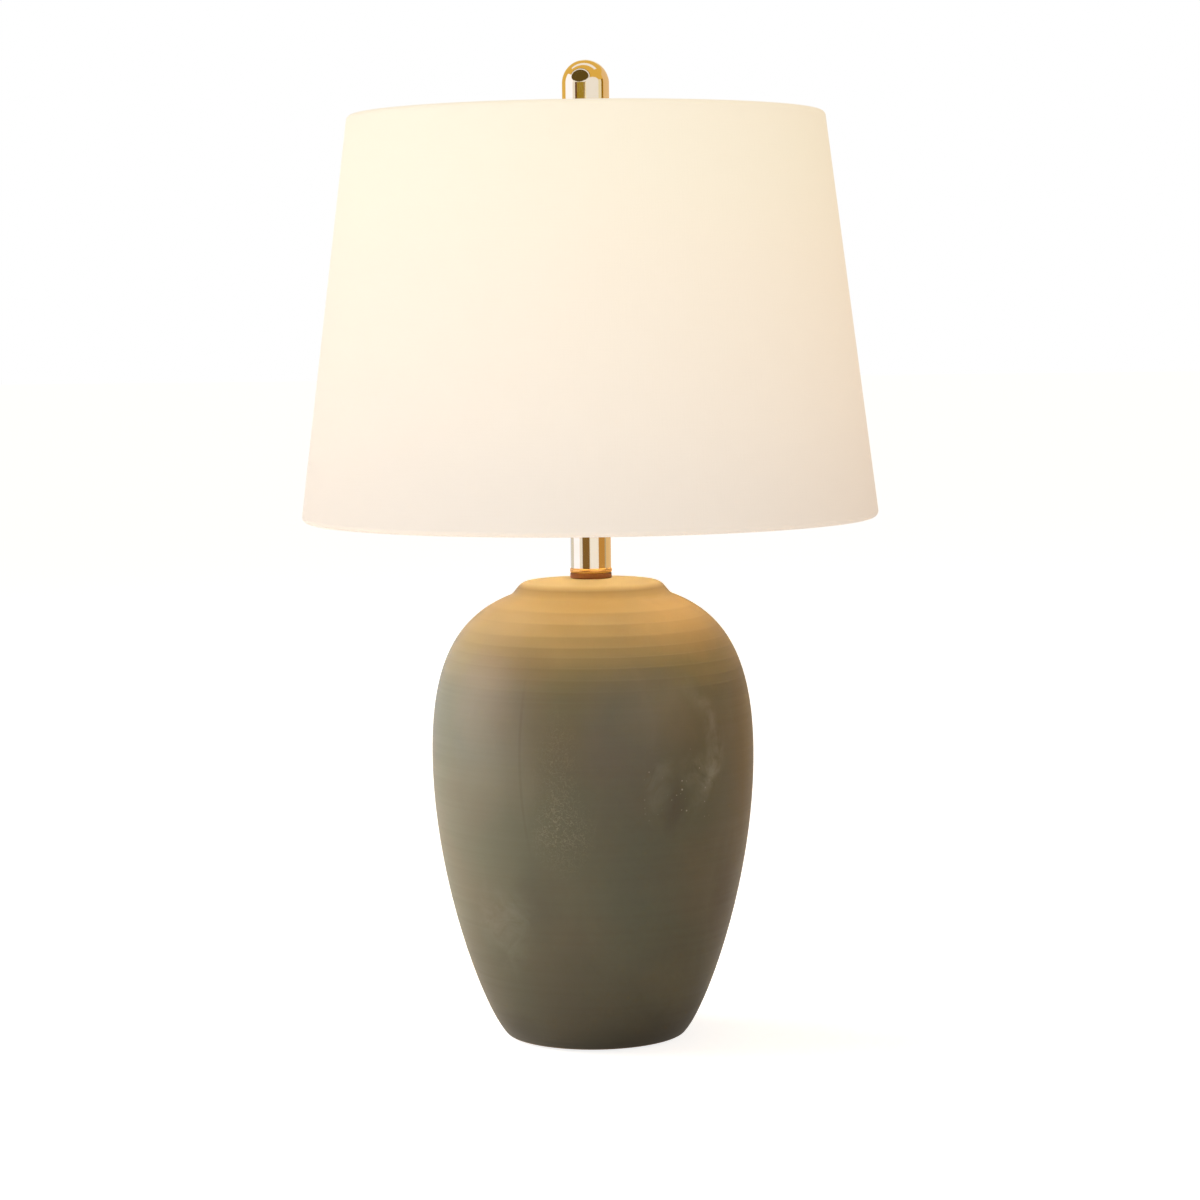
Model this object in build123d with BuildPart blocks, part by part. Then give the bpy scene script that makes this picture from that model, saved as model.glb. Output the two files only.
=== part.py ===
"""Table lamp with a glazed stoneware jar body, brass neck, harp and a tapered fabric shade.

Millimetres, +Z up. The origin is on the table, under the middle of the foot.
The harp stands in the XZ plane, and the switch knob and the cord outlet point to +Y, the back.
"""

import os
from math import cos, hypot, radians, sin, tan

from build123d import *

os.makedirs("parts", exist_ok=True)

# Clearances
SNUG_GAP = 0.1  # round a fixed piece that slips over or into another
RUNNING_GAP = 0.08  # round a shaft that turns in its hole
LOOSE_GAP = 0.3  # beside a piece that slides or turns past another
SEAT_GAP = 0.05  # under a face that turns or lifts off its seat

# Felt pad under the foot
FELT_THICKNESS = 1.2
FELT_RADIUS = 49.0

# Jar outline, as radii and heights above the table
FOOT_RADIUS = 55.2
FOOT_ANGLE = 40.0  # slope of the wall where it leaves the foot
FOOT_HANDLE = 16.5  # how far that slope carries up the curve
FOOT_EDGE_FILLET = 4.0
BELLY_RADIUS = 100.0
BELLY_HEIGHT = 177.4
BELLY_HANDLE_DOWN = 82.0
BELLY_HANDLE_UP = 66.0
SHOULDER_RADIUS = 42.0
SHOULDER_HEIGHT = 279.0
SHOULDER_ANGLE = 16.0
SHOULDER_HANDLE = 38.0
LIP_RADIUS = 43.0
LIP_RISE = 5.5  # lip's upper corner above the shoulder's inner end
LIP_SIDE_ANGLE = 51.0
LIP_EDGE_FILLET = 9.0
LIP_COVE_FILLET = 6.0
CROWN_RISE = 2.0  # from the lip's corner to the flat seat of the neck
CROWN_FLAT_RADIUS = 15.0

# Jar inside
JAR_WALL = 7.0
FOOT_OPENING_RADIUS = 45.0
FLOOR_HEIGHT = 30.0  # underside of the floor
FLOOR_THICKNESS = 8.0

# Cord outlet in the back of the foot
CORD_OUTLET_LENGTH_ALONG = 20.0  # along the wall's curve from the foot
CORD_BORE_RADIUS = 3.3
BUSHING_WALL = 1.3
BUSHING_FLANGE_RADIUS = 7.0
BUSHING_FLANGE_THICKNESS = 1.6
BUSHING_END = 1.0  # sleeve past the inside of the wall

# Threaded pipe, washer and nuts that clamp the stack
PIPE_RADIUS = 4.85
PIPE_BORE_RADIUS = 3.4
PIPE_TAIL = 3.0  # below the bottom nut
PIPE_HEAD = 7.5  # above the saddle, inside the socket cap
WASHER_RADIUS = 20.0
WASHER_THICKNESS = 1.6
NUT_ACROSS_FLATS = 15.0
NUT_CORNER_CHAMFER = 0.6
BOTTOM_NUT_THICKNESS = 5.0
LOCK_NUT_THICKNESS = 4.0

# Brass neck on its fibre washer
SEAT_WASHER_EDGE = 0.3  # the washer stands out from the tube by this
SEAT_WASHER_THICKNESS = 3.6
SEAT_WASHER_FILLET = 0.8
COLLAR_EDGE = 0.1  # the collar's rims stand out from the tube by this
COLLAR_BULGE = 0.5  # and its rounded middle by this more
COLLAR_HEIGHT = 2.8
NECK_RADIUS = 12.5
NECK_WALL = 1.0
NECK_LENGTH = 49.0
SPIGOT_HEIGHT = 4.0
NECK_CAP_RADIUS = 14.0
NECK_CAP_THICKNESS = 3.0
NECK_CAP_FILLET = 1.0

# Harp saddle
SADDLE_THICKNESS = 1.6
SADDLE_WIDTH = 12.0
SADDLE_BEND = 5.0
EAR_SHOULDER = 8.0  # from the saddle's underside to where the ears narrow
EAR_TAB_WIDTH = 3.8
EAR_TAB_LENGTH = 14.0

# Harp
HARP_WIRE_RADIUS = 2.0
HARP_LEG_X = 27.5
HARP_LEG_STRAIGHT = 46.0
HARP_FLARE_RISE = 44.0  # from the straight legs up to the bow
HARP_FLARE_OUT = 28.5
HARP_BOW_LENGTH = 56.0
HARP_ARCH_RISE = 42.0  # from the bow up to the arch's corners
HARP_ARCH_IN = 16.0
HARP_CROWN_RISE = 11.0  # from those corners up to the crown
HARP_CROWN_X = 16.0
HARP_BEND_LEG = 60.0
HARP_BEND_BOW = 60.0
HARP_BEND_ARCH = 30.0
HARP_BEND_CROWN = 28.0

# Sleeves that lock the harp's legs to the saddle's ears
SLEEVE_RADIUS = 4.2
SLEEVE_LENGTH = 13.0

# Harp seat, with the stud for the finial
SEAT_BOSS_RADIUS = 5.5
SEAT_BOSS_WALL = 1.4  # below and above the wire
SEAT_FLANGE_RADIUS = 10.0
SEAT_FLANGE_THICKNESS = 2.0
STUD_RADIUS = 3.1
STUD_LENGTH = 12.0

# Socket
CAP_HUB_RADIUS = 7.5
CAP_HUB_HEIGHT = 6.0
CAP_RADIUS = 16.8
CAP_HEIGHT = 22.0
CAP_SHEET = 0.8
CAP_CORNER = 1.9
SHELL_SHEET = 0.6
SHELL_BOTTOM = 16.0  # above the saddle
SHELL_MARGIN = 2.5  # from the end of the thread to the shell's mouth
SHELL_CURL = 1.0
LINER_SHEET = 0.8
LINER_END = 2.0  # short of the shell at both ends
BODY_COVER = 3.0  # above the switch shaft
BODY_SKIRT_WALL = 3.0
BODY_SKIRT_HEIGHT = 10.0
BODY_FLAT_DEPTH = 2.8
TERMINAL_HEAD_RADIUS = 3.0
TERMINAL_HEAD_THICKNESS = 1.8
TERMINAL_SHANK_RADIUS = 1.6
TERMINAL_SHANK_LENGTH = 2.4
SET_SCREW_RADIUS = 1.4
SET_SCREW_HEAD = 2.0

# Screw shells of the lamp holder and the bulb, at the thread's outer radius
SCREW_RADIUS = 13.1
SCREW_LENGTH = 18.0
SCREW_SHEET = 0.4
SCREW_CORNER = 1.0
SCREW_FLOOR_HOLE = 8.0

# Centre contact
CONTACT_WIDTH = 5.0
CONTACT_SPAN = 13.0
CONTACT_SHEET = 0.5
CONTACT_RISE = 1.6

# Turn switch
KNOB_RISE = 1.0  # from the cap's rim to the shaft's window
SHAFT_RADIUS = 2.2
SHAFT_BURIED = 8.0  # inside the socket body
KNOB_GAP = 2.5  # from the shell to the knob
KNOB_RADIUS = 6.5
KNOB_LENGTH = 15.0
KNOB_FLUTES = 14
KNOB_FLUTE_RADIUS = 0.9
KNOB_BORE_DEPTH = 11.0
KNOB_CHAMFER = 0.8
SHAFT_WINDOW_RADIUS = 3.6

# Bulb
TIP_RADIUS = 4.5
TIP_THICKNESS = 1.2
INSULATOR_RADIUS = 9.5
INSULATOR_HEIGHT = 2.6
CAP_CONE_HEIGHT = 2.4
CAP_LIP_HEIGHT = 4.0  # above the thread, past the shell's mouth
HOUSING_NECK_RADIUS = 14.2
HOUSING_LENGTH = 40.0
HOUSING_NECK_HANDLE = 22.0
HOUSING_TOP_HANDLE = 14.0
HOUSING_SPIGOT = 4.0
BULB_RADIUS = 30.0
DOME_BAND = 15.0  # from the dome's edge up to its widest ring
DOME_EDGE_INSET = 0.9
DOME_WALL = 1.3

# Shade
SHADE_TOP_RADIUS = 146.6
SHADE_BOTTOM_RADIUS = 177.8
SHADE_HEIGHT = 247.6
SHADE_DROP = 8.5  # from the shade's upper edge down to its hub
FABRIC_THICKNESS = 0.8
LINER_THICKNESS = 0.5
LINER_MARGIN = 3.0  # from the ring wires to the liner's edges
RING_WIRE_RADIUS = 2.0
HEM_WRAP = 130.0  # degrees of fabric turned over each ring wire
HEM_GAP = 0.5  # between a ring wire and its hem
HUB_RADIUS = 12.7
HUB_THICKNESS = 1.6
HUB_HOLE_GAP = 0.4
ARM_COUNT = 3
ARM_RADIUS = 1.75
ARM_RISE_RUN = 16.0  # length of the arm's rise beside the ring
ARM_BEND = 12.0

# Finial
FINIAL_RADIUS = 14.4
FINIAL_HEIGHT = 41.5
FINIAL_EDGE_FILLET = 0.8
FINIAL_HOLE_END = 1.5  # blind hole past the end of the stud

# Places in the stack, from the table up
foot_z = FELT_THICKNESS
lip_z = SHOULDER_HEIGHT + LIP_RISE
jar_top_z = lip_z + CROWN_RISE
floor_top_z = FLOOR_HEIGHT + FLOOR_THICKNESS
washer_z = FLOOR_HEIGHT - WASHER_THICKNESS
bottom_nut_z = washer_z - BOTTOM_NUT_THICKNESS
pipe_bottom_z = bottom_nut_z - PIPE_TAIL
collar_z = jar_top_z + SEAT_WASHER_THICKNESS
neck_z = collar_z + COLLAR_HEIGHT
neck_cap_z = neck_z + NECK_LENGTH
lock_nut_z = neck_cap_z + NECK_CAP_THICKNESS
saddle_z = lock_nut_z + LOCK_NUT_THICKNESS
socket_z = saddle_z + SADDLE_THICKNESS
sleeve_z = saddle_z + EAR_SHOULDER + SEAT_GAP
ear_top_z = saddle_z + EAR_SHOULDER + EAR_TAB_LENGTH
harp_foot_z = saddle_z + EAR_SHOULDER
harp_flare_z = harp_foot_z + HARP_LEG_STRAIGHT
harp_bow_z = harp_flare_z + HARP_FLARE_RISE
harp_bow_top_z = harp_bow_z + HARP_BOW_LENGTH
harp_arch_z = harp_bow_top_z + HARP_ARCH_RISE
harp_crown_z = harp_arch_z + HARP_CROWN_RISE
seat_flange_z = harp_crown_z + HARP_WIRE_RADIUS + SEAT_BOSS_WALL
seat_z = seat_flange_z + SEAT_FLANGE_THICKNESS
hub_z = seat_z + SEAT_GAP
hub_top_z = hub_z + HUB_THICKNESS
finial_z = hub_top_z + SEAT_GAP
shade_top_z = hub_top_z + SHADE_DROP
shade_bottom_z = shade_top_z - SHADE_HEIGHT

# Places in the socket and the bulb
knob_z = socket_z + CAP_HEIGHT + KNOB_RISE + SHAFT_WINDOW_RADIUS
body_bottom_z = socket_z + CAP_HUB_HEIGHT + CAP_SHEET
body_top_z = knob_z + SHAFT_RADIUS + BODY_COVER
contact_top_z = body_top_z + CONTACT_SHEET + CONTACT_RISE
tip_z = contact_top_z + LOOSE_GAP
insulator_z = tip_z + TIP_THICKNESS
insulator_top_z = insulator_z + INSULATOR_HEIGHT
thread_z = insulator_top_z + CAP_CONE_HEIGHT
thread_top_z = thread_z + SCREW_LENGTH
shell_bottom_z = socket_z + SHELL_BOTTOM
shell_top_z = thread_top_z + SHELL_MARGIN
cap_top_z = thread_top_z + CAP_LIP_HEIGHT
dome_edge_z = cap_top_z + HOUSING_LENGTH
dome_widest_z = dome_edge_z + DOME_BAND

# Radii that more than one piece shares
pipe_hole_radius = PIPE_RADIUS + SNUG_GAP
neck_bore_radius = NECK_RADIUS - NECK_WALL
spigot_radius = neck_bore_radius - SNUG_GAP
shell_radius = CAP_RADIUS - CAP_SHEET - SNUG_GAP
liner_radius = shell_radius - SHELL_SHEET - SNUG_GAP
body_radius = liner_radius - LINER_SHEET - SNUG_GAP
fabric_inner_radius = RING_WIRE_RADIUS + HEM_GAP
hem_radius = fabric_inner_radius + FABRIC_THICKNESS
top_ring_radius = SHADE_TOP_RADIUS - hem_radius
top_ring_z = shade_top_z - hem_radius
bottom_ring_radius = SHADE_BOTTOM_RADIUS - hem_radius
bottom_ring_z = shade_bottom_z + hem_radius


def save(piece, name):
    """Label a finished piece and write it to its own file."""
    piece.label = name
    export_step(piece, f"parts/{name}.step")


def ring_edge(piece, radius, height):
    """The circular edge of a turned piece nearest to a radius and a height."""
    circles = piece.edges().filter_by(GeomType.CIRCLE)
    return min(circles, key=lambda e: hypot(e.radius - radius, e.arc_center.Z - height))


def jar_curves(inset):
    """Control points of the jar's two wall curves, moved inwards by a wall thickness."""
    foot_slope = Vector(cos(radians(FOOT_ANGLE)), sin(radians(FOOT_ANGLE)))
    shoulder_slope = Vector(cos(radians(SHOULDER_ANGLE)), -sin(radians(SHOULDER_ANGLE)))
    foot = Vector(FOOT_RADIUS, foot_z) + Vector(-foot_slope.Y, foot_slope.X) * inset
    belly = Vector(BELLY_RADIUS - inset, BELLY_HEIGHT)
    shoulder = Vector(SHOULDER_RADIUS, SHOULDER_HEIGHT)
    shoulder += Vector(shoulder_slope.Y, -shoulder_slope.X) * inset
    lower = [
        foot,
        foot + foot_slope * FOOT_HANDLE,
        belly - Vector(0, BELLY_HANDLE_DOWN),
        belly,
    ]
    upper = [
        belly,
        belly + Vector(0, BELLY_HANDLE_UP),
        shoulder + shoulder_slope * SHOULDER_HANDLE,
        shoulder,
    ]
    return lower, upper


def hex_nut(thickness, base_z):
    """Hexagon nut on the pipe, with its corners turned off at both faces."""
    corner_radius = NUT_ACROSS_FLATS / 2 / cos(radians(30))
    with BuildPart() as nut:
        with BuildSketch(Plane.XY.offset(base_z)):
            RegularPolygon(NUT_ACROSS_FLATS / 2, 6, major_radius=False)
            Circle(pipe_hole_radius, mode=Mode.SUBTRACT)
        extrude(amount=thickness)
        with BuildSketch(Plane.XZ):
            with BuildLine():
                Polyline(
                    (0, base_z),
                    (corner_radius - NUT_CORNER_CHAMFER, base_z),
                    (corner_radius, base_z + NUT_CORNER_CHAMFER / 2),
                    (corner_radius, base_z + thickness - NUT_CORNER_CHAMFER / 2),
                    (corner_radius - NUT_CORNER_CHAMFER, base_z + thickness),
                    (0, base_z + thickness),
                    close=True,
                )
            make_face()
        revolve(axis=Axis.Z, mode=Mode.INTERSECT)
    return nut.part


# Felt pad, glued over the open foot
with BuildPart() as felt_pad:
    with BuildSketch():
        Circle(FELT_RADIUS)
    extrude(amount=FELT_THICKNESS)
save(felt_pad.part, "felt_pad")

# Stoneware jar, with a floor inside, an open foot and a crowned lip
lower_wall, upper_wall = jar_curves(0)
lip_corner = Vector(LIP_RADIUS, lip_z)
lip_depth = 2 * LIP_RISE
outlet_wall = Edge.make_bezier(*lower_wall)
outlet_share = CORD_OUTLET_LENGTH_ALONG / outlet_wall.length
outlet_point = outlet_wall.position_at(outlet_share)
outlet_slope = outlet_wall.tangent_at(outlet_share)
outlet_plane = Plane(
    origin=(0, outlet_point.X, outlet_point.Y),
    x_dir=(1, 0, 0),
    z_dir=(0, outlet_slope.Y, -outlet_slope.X),
)
bushing_radius = CORD_BORE_RADIUS + BUSHING_WALL
with BuildPart() as ceramic_body:
    with BuildSketch(Plane.XZ):
        with BuildLine():
            Line((0, foot_z), lower_wall[0])
            Bezier(*lower_wall)
            Bezier(*upper_wall)
            Line(upper_wall[-1], (0, SHOULDER_HEIGHT))
            Line((0, SHOULDER_HEIGHT), (0, foot_z))
        make_face()
        with BuildLine():
            Polyline(
                (0, lip_z - lip_depth),
                (LIP_RADIUS + lip_depth / tan(radians(LIP_SIDE_ANGLE)), lip_z - lip_depth),
                lip_corner,
                (CROWN_FLAT_RADIUS, jar_top_z),
                (0, jar_top_z),
                close=True,
            )
        make_face()
    revolve(axis=Axis.Z)
    fillet(ring_edge(ceramic_body.part, LIP_RADIUS, lip_z), LIP_EDGE_FILLET)
    cove = ring_edge(ceramic_body.part, LIP_RADIUS + LIP_RISE, SHOULDER_HEIGHT - CROWN_RISE)
    fillet(cove, LIP_COVE_FILLET)
    fillet(ring_edge(ceramic_body.part, FOOT_RADIUS, foot_z), FOOT_EDGE_FILLET)
    inner_lower, inner_upper = jar_curves(JAR_WALL)
    with BuildSketch(Plane.XZ):
        with BuildLine():
            Polyline((0, foot_z), (FOOT_OPENING_RADIUS, foot_z), (FOOT_OPENING_RADIUS, inner_lower[0].Y))
            Line((FOOT_OPENING_RADIUS, inner_lower[0].Y), inner_lower[0])
            Bezier(*inner_lower)
            Bezier(*inner_upper)
            Polyline(
                inner_upper[-1],
                (LIP_RADIUS - JAR_WALL, inner_upper[-1].Y),
                (LIP_RADIUS - JAR_WALL, jar_top_z - JAR_WALL),
                (0, jar_top_z - JAR_WALL),
                (0, foot_z),
            )
        make_face()
        with Locations((0, FLOOR_HEIGHT)):
            Rectangle(
                2 * BELLY_RADIUS,
                FLOOR_THICKNESS,
                align=(Align.CENTER, Align.MIN),
                mode=Mode.SUBTRACT,
            )
    revolve(axis=Axis.Z, mode=Mode.SUBTRACT)
    with BuildSketch(Plane.XY.offset(foot_z)):
        Circle(pipe_hole_radius)
    extrude(amount=jar_top_z - foot_z, mode=Mode.SUBTRACT)
    with BuildSketch(outlet_plane):
        Circle(bushing_radius + SNUG_GAP)
    extrude(amount=-2 * JAR_WALL, mode=Mode.SUBTRACT)
save(ceramic_body.part, "ceramic_body")

# Cord bushing, a flanged sleeve square to the wall
with BuildPart() as cord_bushing:
    with BuildSketch(outlet_plane):
        Circle(BUSHING_FLANGE_RADIUS)
    extrude(amount=BUSHING_FLANGE_THICKNESS)
    fillet(cord_bushing.edges().group_by(SortBy.DISTANCE)[-1], BUSHING_FLANGE_THICKNESS / 2)
    with BuildSketch(outlet_plane):
        Circle(bushing_radius)
    extrude(amount=-(JAR_WALL + BUSHING_END))
    with BuildSketch(outlet_plane.offset(BUSHING_FLANGE_THICKNESS)):
        Circle(CORD_BORE_RADIUS)
    extrude(amount=-(BUSHING_FLANGE_THICKNESS + JAR_WALL + BUSHING_END), mode=Mode.SUBTRACT)
save(cord_bushing.part, "cord_bushing")

# Threaded pipe through the whole stack, from the foot to the socket cap
with BuildPart() as lamp_pipe:
    with BuildSketch(Plane.XY.offset(pipe_bottom_z)):
        Circle(PIPE_RADIUS)
        Circle(PIPE_BORE_RADIUS, mode=Mode.SUBTRACT)
    extrude(amount=socket_z + PIPE_HEAD - pipe_bottom_z)
save(lamp_pipe.part, "lamp_pipe")

# Washer and nut that pull the pipe against the jar's floor
with BuildPart() as bottom_washer:
    with BuildSketch(Plane.XY.offset(washer_z)):
        Circle(WASHER_RADIUS)
        Circle(pipe_hole_radius, mode=Mode.SUBTRACT)
    extrude(amount=WASHER_THICKNESS)
save(bottom_washer.part, "bottom_washer")
save(hex_nut(BOTTOM_NUT_THICKNESS, bottom_nut_z), "bottom_nut")

# Fibre washer that beds the neck on the jar's crown
with BuildPart() as neck_washer:
    with BuildSketch(Plane.XY.offset(jar_top_z)):
        Circle(NECK_RADIUS + SEAT_WASHER_EDGE)
        Circle(pipe_hole_radius, mode=Mode.SUBTRACT)
    extrude(amount=SEAT_WASHER_THICKNESS)
    washer_rims = neck_washer.edges().filter_by(GeomType.CIRCLE).sort_by(SortBy.RADIUS)[-2:]
    fillet(washer_rims, SEAT_WASHER_FILLET)
save(neck_washer.part, "neck_washer")

# Rounded brass collar on the washer, with a spigot that centres the neck tube
collar_radius = NECK_RADIUS + COLLAR_EDGE
with BuildPart() as neck_collar:
    with BuildSketch(Plane.XZ):
        with BuildLine():
            Line((pipe_hole_radius, collar_z), (collar_radius, collar_z))
            ThreePointArc(
                (collar_radius, collar_z),
                (collar_radius + COLLAR_BULGE, collar_z + COLLAR_HEIGHT / 2),
                (collar_radius, neck_z),
            )
            Polyline(
                (collar_radius, neck_z),
                (spigot_radius, neck_z),
                (spigot_radius, neck_z + SPIGOT_HEIGHT),
                (pipe_hole_radius, neck_z + SPIGOT_HEIGHT),
                (pipe_hole_radius, collar_z),
            )
        make_face()
    revolve(axis=Axis.Z)
save(neck_collar.part, "neck_collar")

# Polished neck tube
with BuildPart() as neck_tube:
    with BuildSketch(Plane.XY.offset(neck_z)):
        Circle(NECK_RADIUS)
        Circle(neck_bore_radius, mode=Mode.SUBTRACT)
    extrude(amount=NECK_LENGTH)
save(neck_tube.part, "neck_tube")

# Cap that closes the tube's upper end
with BuildPart() as neck_cap:
    with BuildSketch(Plane.XY.offset(neck_cap_z)):
        Circle(NECK_CAP_RADIUS)
    extrude(amount=NECK_CAP_THICKNESS)
    fillet(neck_cap.edges().sort_by(Axis.Z)[-1], NECK_CAP_FILLET)
    with BuildSketch(Plane.XY.offset(neck_cap_z)):
        Circle(spigot_radius)
    extrude(amount=-SPIGOT_HEIGHT)
    with BuildSketch(Plane.XY.offset(neck_cap_z - SPIGOT_HEIGHT)):
        Circle(pipe_hole_radius)
    extrude(amount=SPIGOT_HEIGHT + NECK_CAP_THICKNESS, mode=Mode.SUBTRACT)
save(neck_cap.part, "neck_cap")

# Lock nut that draws the neck down on the jar
save(hex_nut(LOCK_NUT_THICKNESS, lock_nut_z), "lock_nut")

# Harp saddle: a strip bent up at both ends, with the ears narrowed to tabs
with BuildPart() as harp_saddle:
    with BuildSketch(Plane.XZ):
        with BuildLine():
            FilletPolyline(
                (-HARP_LEG_X - SADDLE_THICKNESS / 2, ear_top_z),
                (-HARP_LEG_X - SADDLE_THICKNESS / 2, saddle_z + SADDLE_THICKNESS / 2),
                (HARP_LEG_X + SADDLE_THICKNESS / 2, saddle_z + SADDLE_THICKNESS / 2),
                (HARP_LEG_X + SADDLE_THICKNESS / 2, ear_top_z),
                radius=SADDLE_BEND,
            )
        trace(line_width=SADDLE_THICKNESS)
    extrude(amount=SADDLE_WIDTH / 2, both=True)
    with BuildSketch(Plane.YZ.offset(-2 * HARP_LEG_X)):
        for side in (-1, 1):
            with Locations((side * EAR_TAB_WIDTH / 2, saddle_z + EAR_SHOULDER)):
                Rectangle(
                    SADDLE_WIDTH,
                    2 * EAR_TAB_LENGTH,
                    align=(Align.MAX if side < 0 else Align.MIN, Align.MIN),
                )
    extrude(amount=4 * HARP_LEG_X, mode=Mode.SUBTRACT)
    with BuildSketch(Plane.XY.offset(saddle_z)):
        Circle(pipe_hole_radius)
    extrude(amount=SADDLE_THICKNESS, mode=Mode.SUBTRACT)
save(harp_saddle.part, "harp_saddle")

# Harp: one bent wire, with the ends of its legs halved to lie against the ears
harp_bow_x = HARP_LEG_X + HARP_FLARE_OUT
with BuildPart() as harp_wire:
    with BuildLine(Plane.XZ) as harp_path:
        right_side = [
            (HARP_LEG_X, harp_flare_z),
            (harp_bow_x, harp_bow_z),
            (harp_bow_x, harp_bow_top_z),
            (harp_bow_x - HARP_ARCH_IN, harp_arch_z),
            (HARP_CROWN_X, harp_crown_z),
        ]
        left_side = [(-x, z) for x, z in reversed(right_side)]
        bends = [HARP_BEND_LEG, HARP_BEND_BOW, HARP_BEND_BOW, HARP_BEND_ARCH, HARP_BEND_CROWN]
        FilletPolyline(
            (HARP_LEG_X, harp_foot_z + SEAT_GAP),
            *right_side,
            *left_side,
            (-HARP_LEG_X, harp_foot_z + SEAT_GAP),
            radius=bends + bends[::-1],
        )
    with BuildSketch(Plane(origin=(HARP_LEG_X, 0, harp_foot_z + SEAT_GAP), z_dir=(0, 0, 1))):
        Circle(HARP_WIRE_RADIUS)
    sweep(path=harp_path.wire())
    with BuildSketch(Plane.XY.offset(harp_foot_z)):
        for side in (-1, 1):
            with Locations((side * HARP_LEG_X, 0)):
                Rectangle(
                    2 * HARP_WIRE_RADIUS,
                    4 * HARP_WIRE_RADIUS,
                    align=(Align.MAX if side < 0 else Align.MIN, Align.CENTER),
                )
    extrude(amount=EAR_TAB_LENGTH + LOOSE_GAP, mode=Mode.SUBTRACT)
save(harp_wire.part, "harp_wire")

# Locking sleeves over the ears and the legs
sleeve_bore_radius = hypot(SADDLE_THICKNESS, EAR_TAB_WIDTH / 2) + LOOSE_GAP
for sleeve_side, sleeve_name in ((-1, "left_harp_sleeve"), (1, "right_harp_sleeve")):
    with BuildPart() as harp_sleeve:
        with BuildSketch(Plane.XY.offset(sleeve_z)):
            with Locations((sleeve_side * HARP_LEG_X, 0)):
                Circle(SLEEVE_RADIUS)
                Circle(sleeve_bore_radius, mode=Mode.SUBTRACT)
        extrude(amount=SLEEVE_LENGTH)
    save(harp_sleeve.part, sleeve_name)

# Harp seat: a turned boss on the wire's crown, with the finial's stud on top
seat_bottom_z = harp_crown_z - HARP_WIRE_RADIUS - SEAT_BOSS_WALL
with BuildPart() as harp_seat:
    with BuildSketch(Plane.XY.offset(seat_bottom_z)):
        Circle(SEAT_BOSS_RADIUS)
    extrude(amount=seat_flange_z - seat_bottom_z)
    with BuildSketch(Plane.XY.offset(seat_flange_z)):
        Circle(SEAT_FLANGE_RADIUS)
    extrude(amount=SEAT_FLANGE_THICKNESS)
    with BuildSketch(Plane.XY.offset(seat_z)):
        Circle(STUD_RADIUS)
    extrude(amount=STUD_LENGTH)
    with BuildSketch(Plane.YZ.offset(-SEAT_BOSS_RADIUS)):
        with Locations((0, harp_crown_z)):
            Circle(HARP_WIRE_RADIUS + SNUG_GAP)
    extrude(amount=2 * SEAT_BOSS_RADIUS, mode=Mode.SUBTRACT)
save(harp_seat.part, "harp_seat")

# Socket cap: a drawn brass cup on the pipe, with its set screw in the hub
with BuildPart() as socket_cap:
    with BuildSketch(Plane.XZ):
        with BuildLine():
            FilletPolyline(
                (CAP_HUB_RADIUS - CAP_SHEET, socket_z + CAP_HUB_HEIGHT + CAP_SHEET / 2),
                (CAP_RADIUS - CAP_SHEET / 2, socket_z + CAP_HUB_HEIGHT + CAP_SHEET / 2),
                (CAP_RADIUS - CAP_SHEET / 2, socket_z + CAP_HEIGHT),
                radius=CAP_CORNER,
            )
        trace(line_width=CAP_SHEET)
    revolve(axis=Axis.Z)
    with BuildSketch(Plane.XY.offset(socket_z)):
        Circle(CAP_HUB_RADIUS)
    extrude(amount=CAP_HUB_HEIGHT + CAP_SHEET)
    with BuildSketch(Plane.XY.offset(socket_z)):
        Circle(pipe_hole_radius)
    extrude(amount=CAP_HEIGHT, mode=Mode.SUBTRACT)
    with BuildSketch(Plane.XZ):
        with Locations((0, socket_z + CAP_HUB_HEIGHT / 2)):
            Circle(SET_SCREW_RADIUS + SNUG_GAP)
    extrude(amount=-CAP_HUB_RADIUS, mode=Mode.SUBTRACT)
save(socket_cap.part, "socket_cap")

with BuildPart() as set_screw:
    with BuildSketch(Plane.XZ.offset(-pipe_hole_radius)):
        with Locations((0, socket_z + CAP_HUB_HEIGHT / 2)):
            Circle(SET_SCREW_RADIUS)
    extrude(amount=-(CAP_HUB_RADIUS + SET_SCREW_HEAD - pipe_hole_radius))
save(set_screw.part, "set_screw")

# Axis of the turn switch, pointing out of the socket's back
knob_plane = Plane(origin=(0, 0, knob_z), x_dir=(1, 0, 0), z_dir=(0, 1, 0))

# Outer shell of the socket, curled in at the mouth
with BuildPart() as socket_shell:
    with BuildSketch(Plane.XZ):
        with BuildLine():
            FilletPolyline(
                (shell_radius - SHELL_SHEET / 2, shell_bottom_z),
                (shell_radius - SHELL_SHEET / 2, shell_top_z - SHELL_CURL),
                (shell_radius - SHELL_SHEET / 2 - SHELL_CURL, shell_top_z - SHELL_SHEET / 2),
                radius=SHELL_SHEET,
            )
        trace(line_width=SHELL_SHEET)
    revolve(axis=Axis.Z)
    with BuildSketch(knob_plane):
        Circle(SHAFT_WINDOW_RADIUS)
    extrude(amount=CAP_RADIUS, mode=Mode.SUBTRACT)
save(socket_shell.part, "socket_shell")

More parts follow.
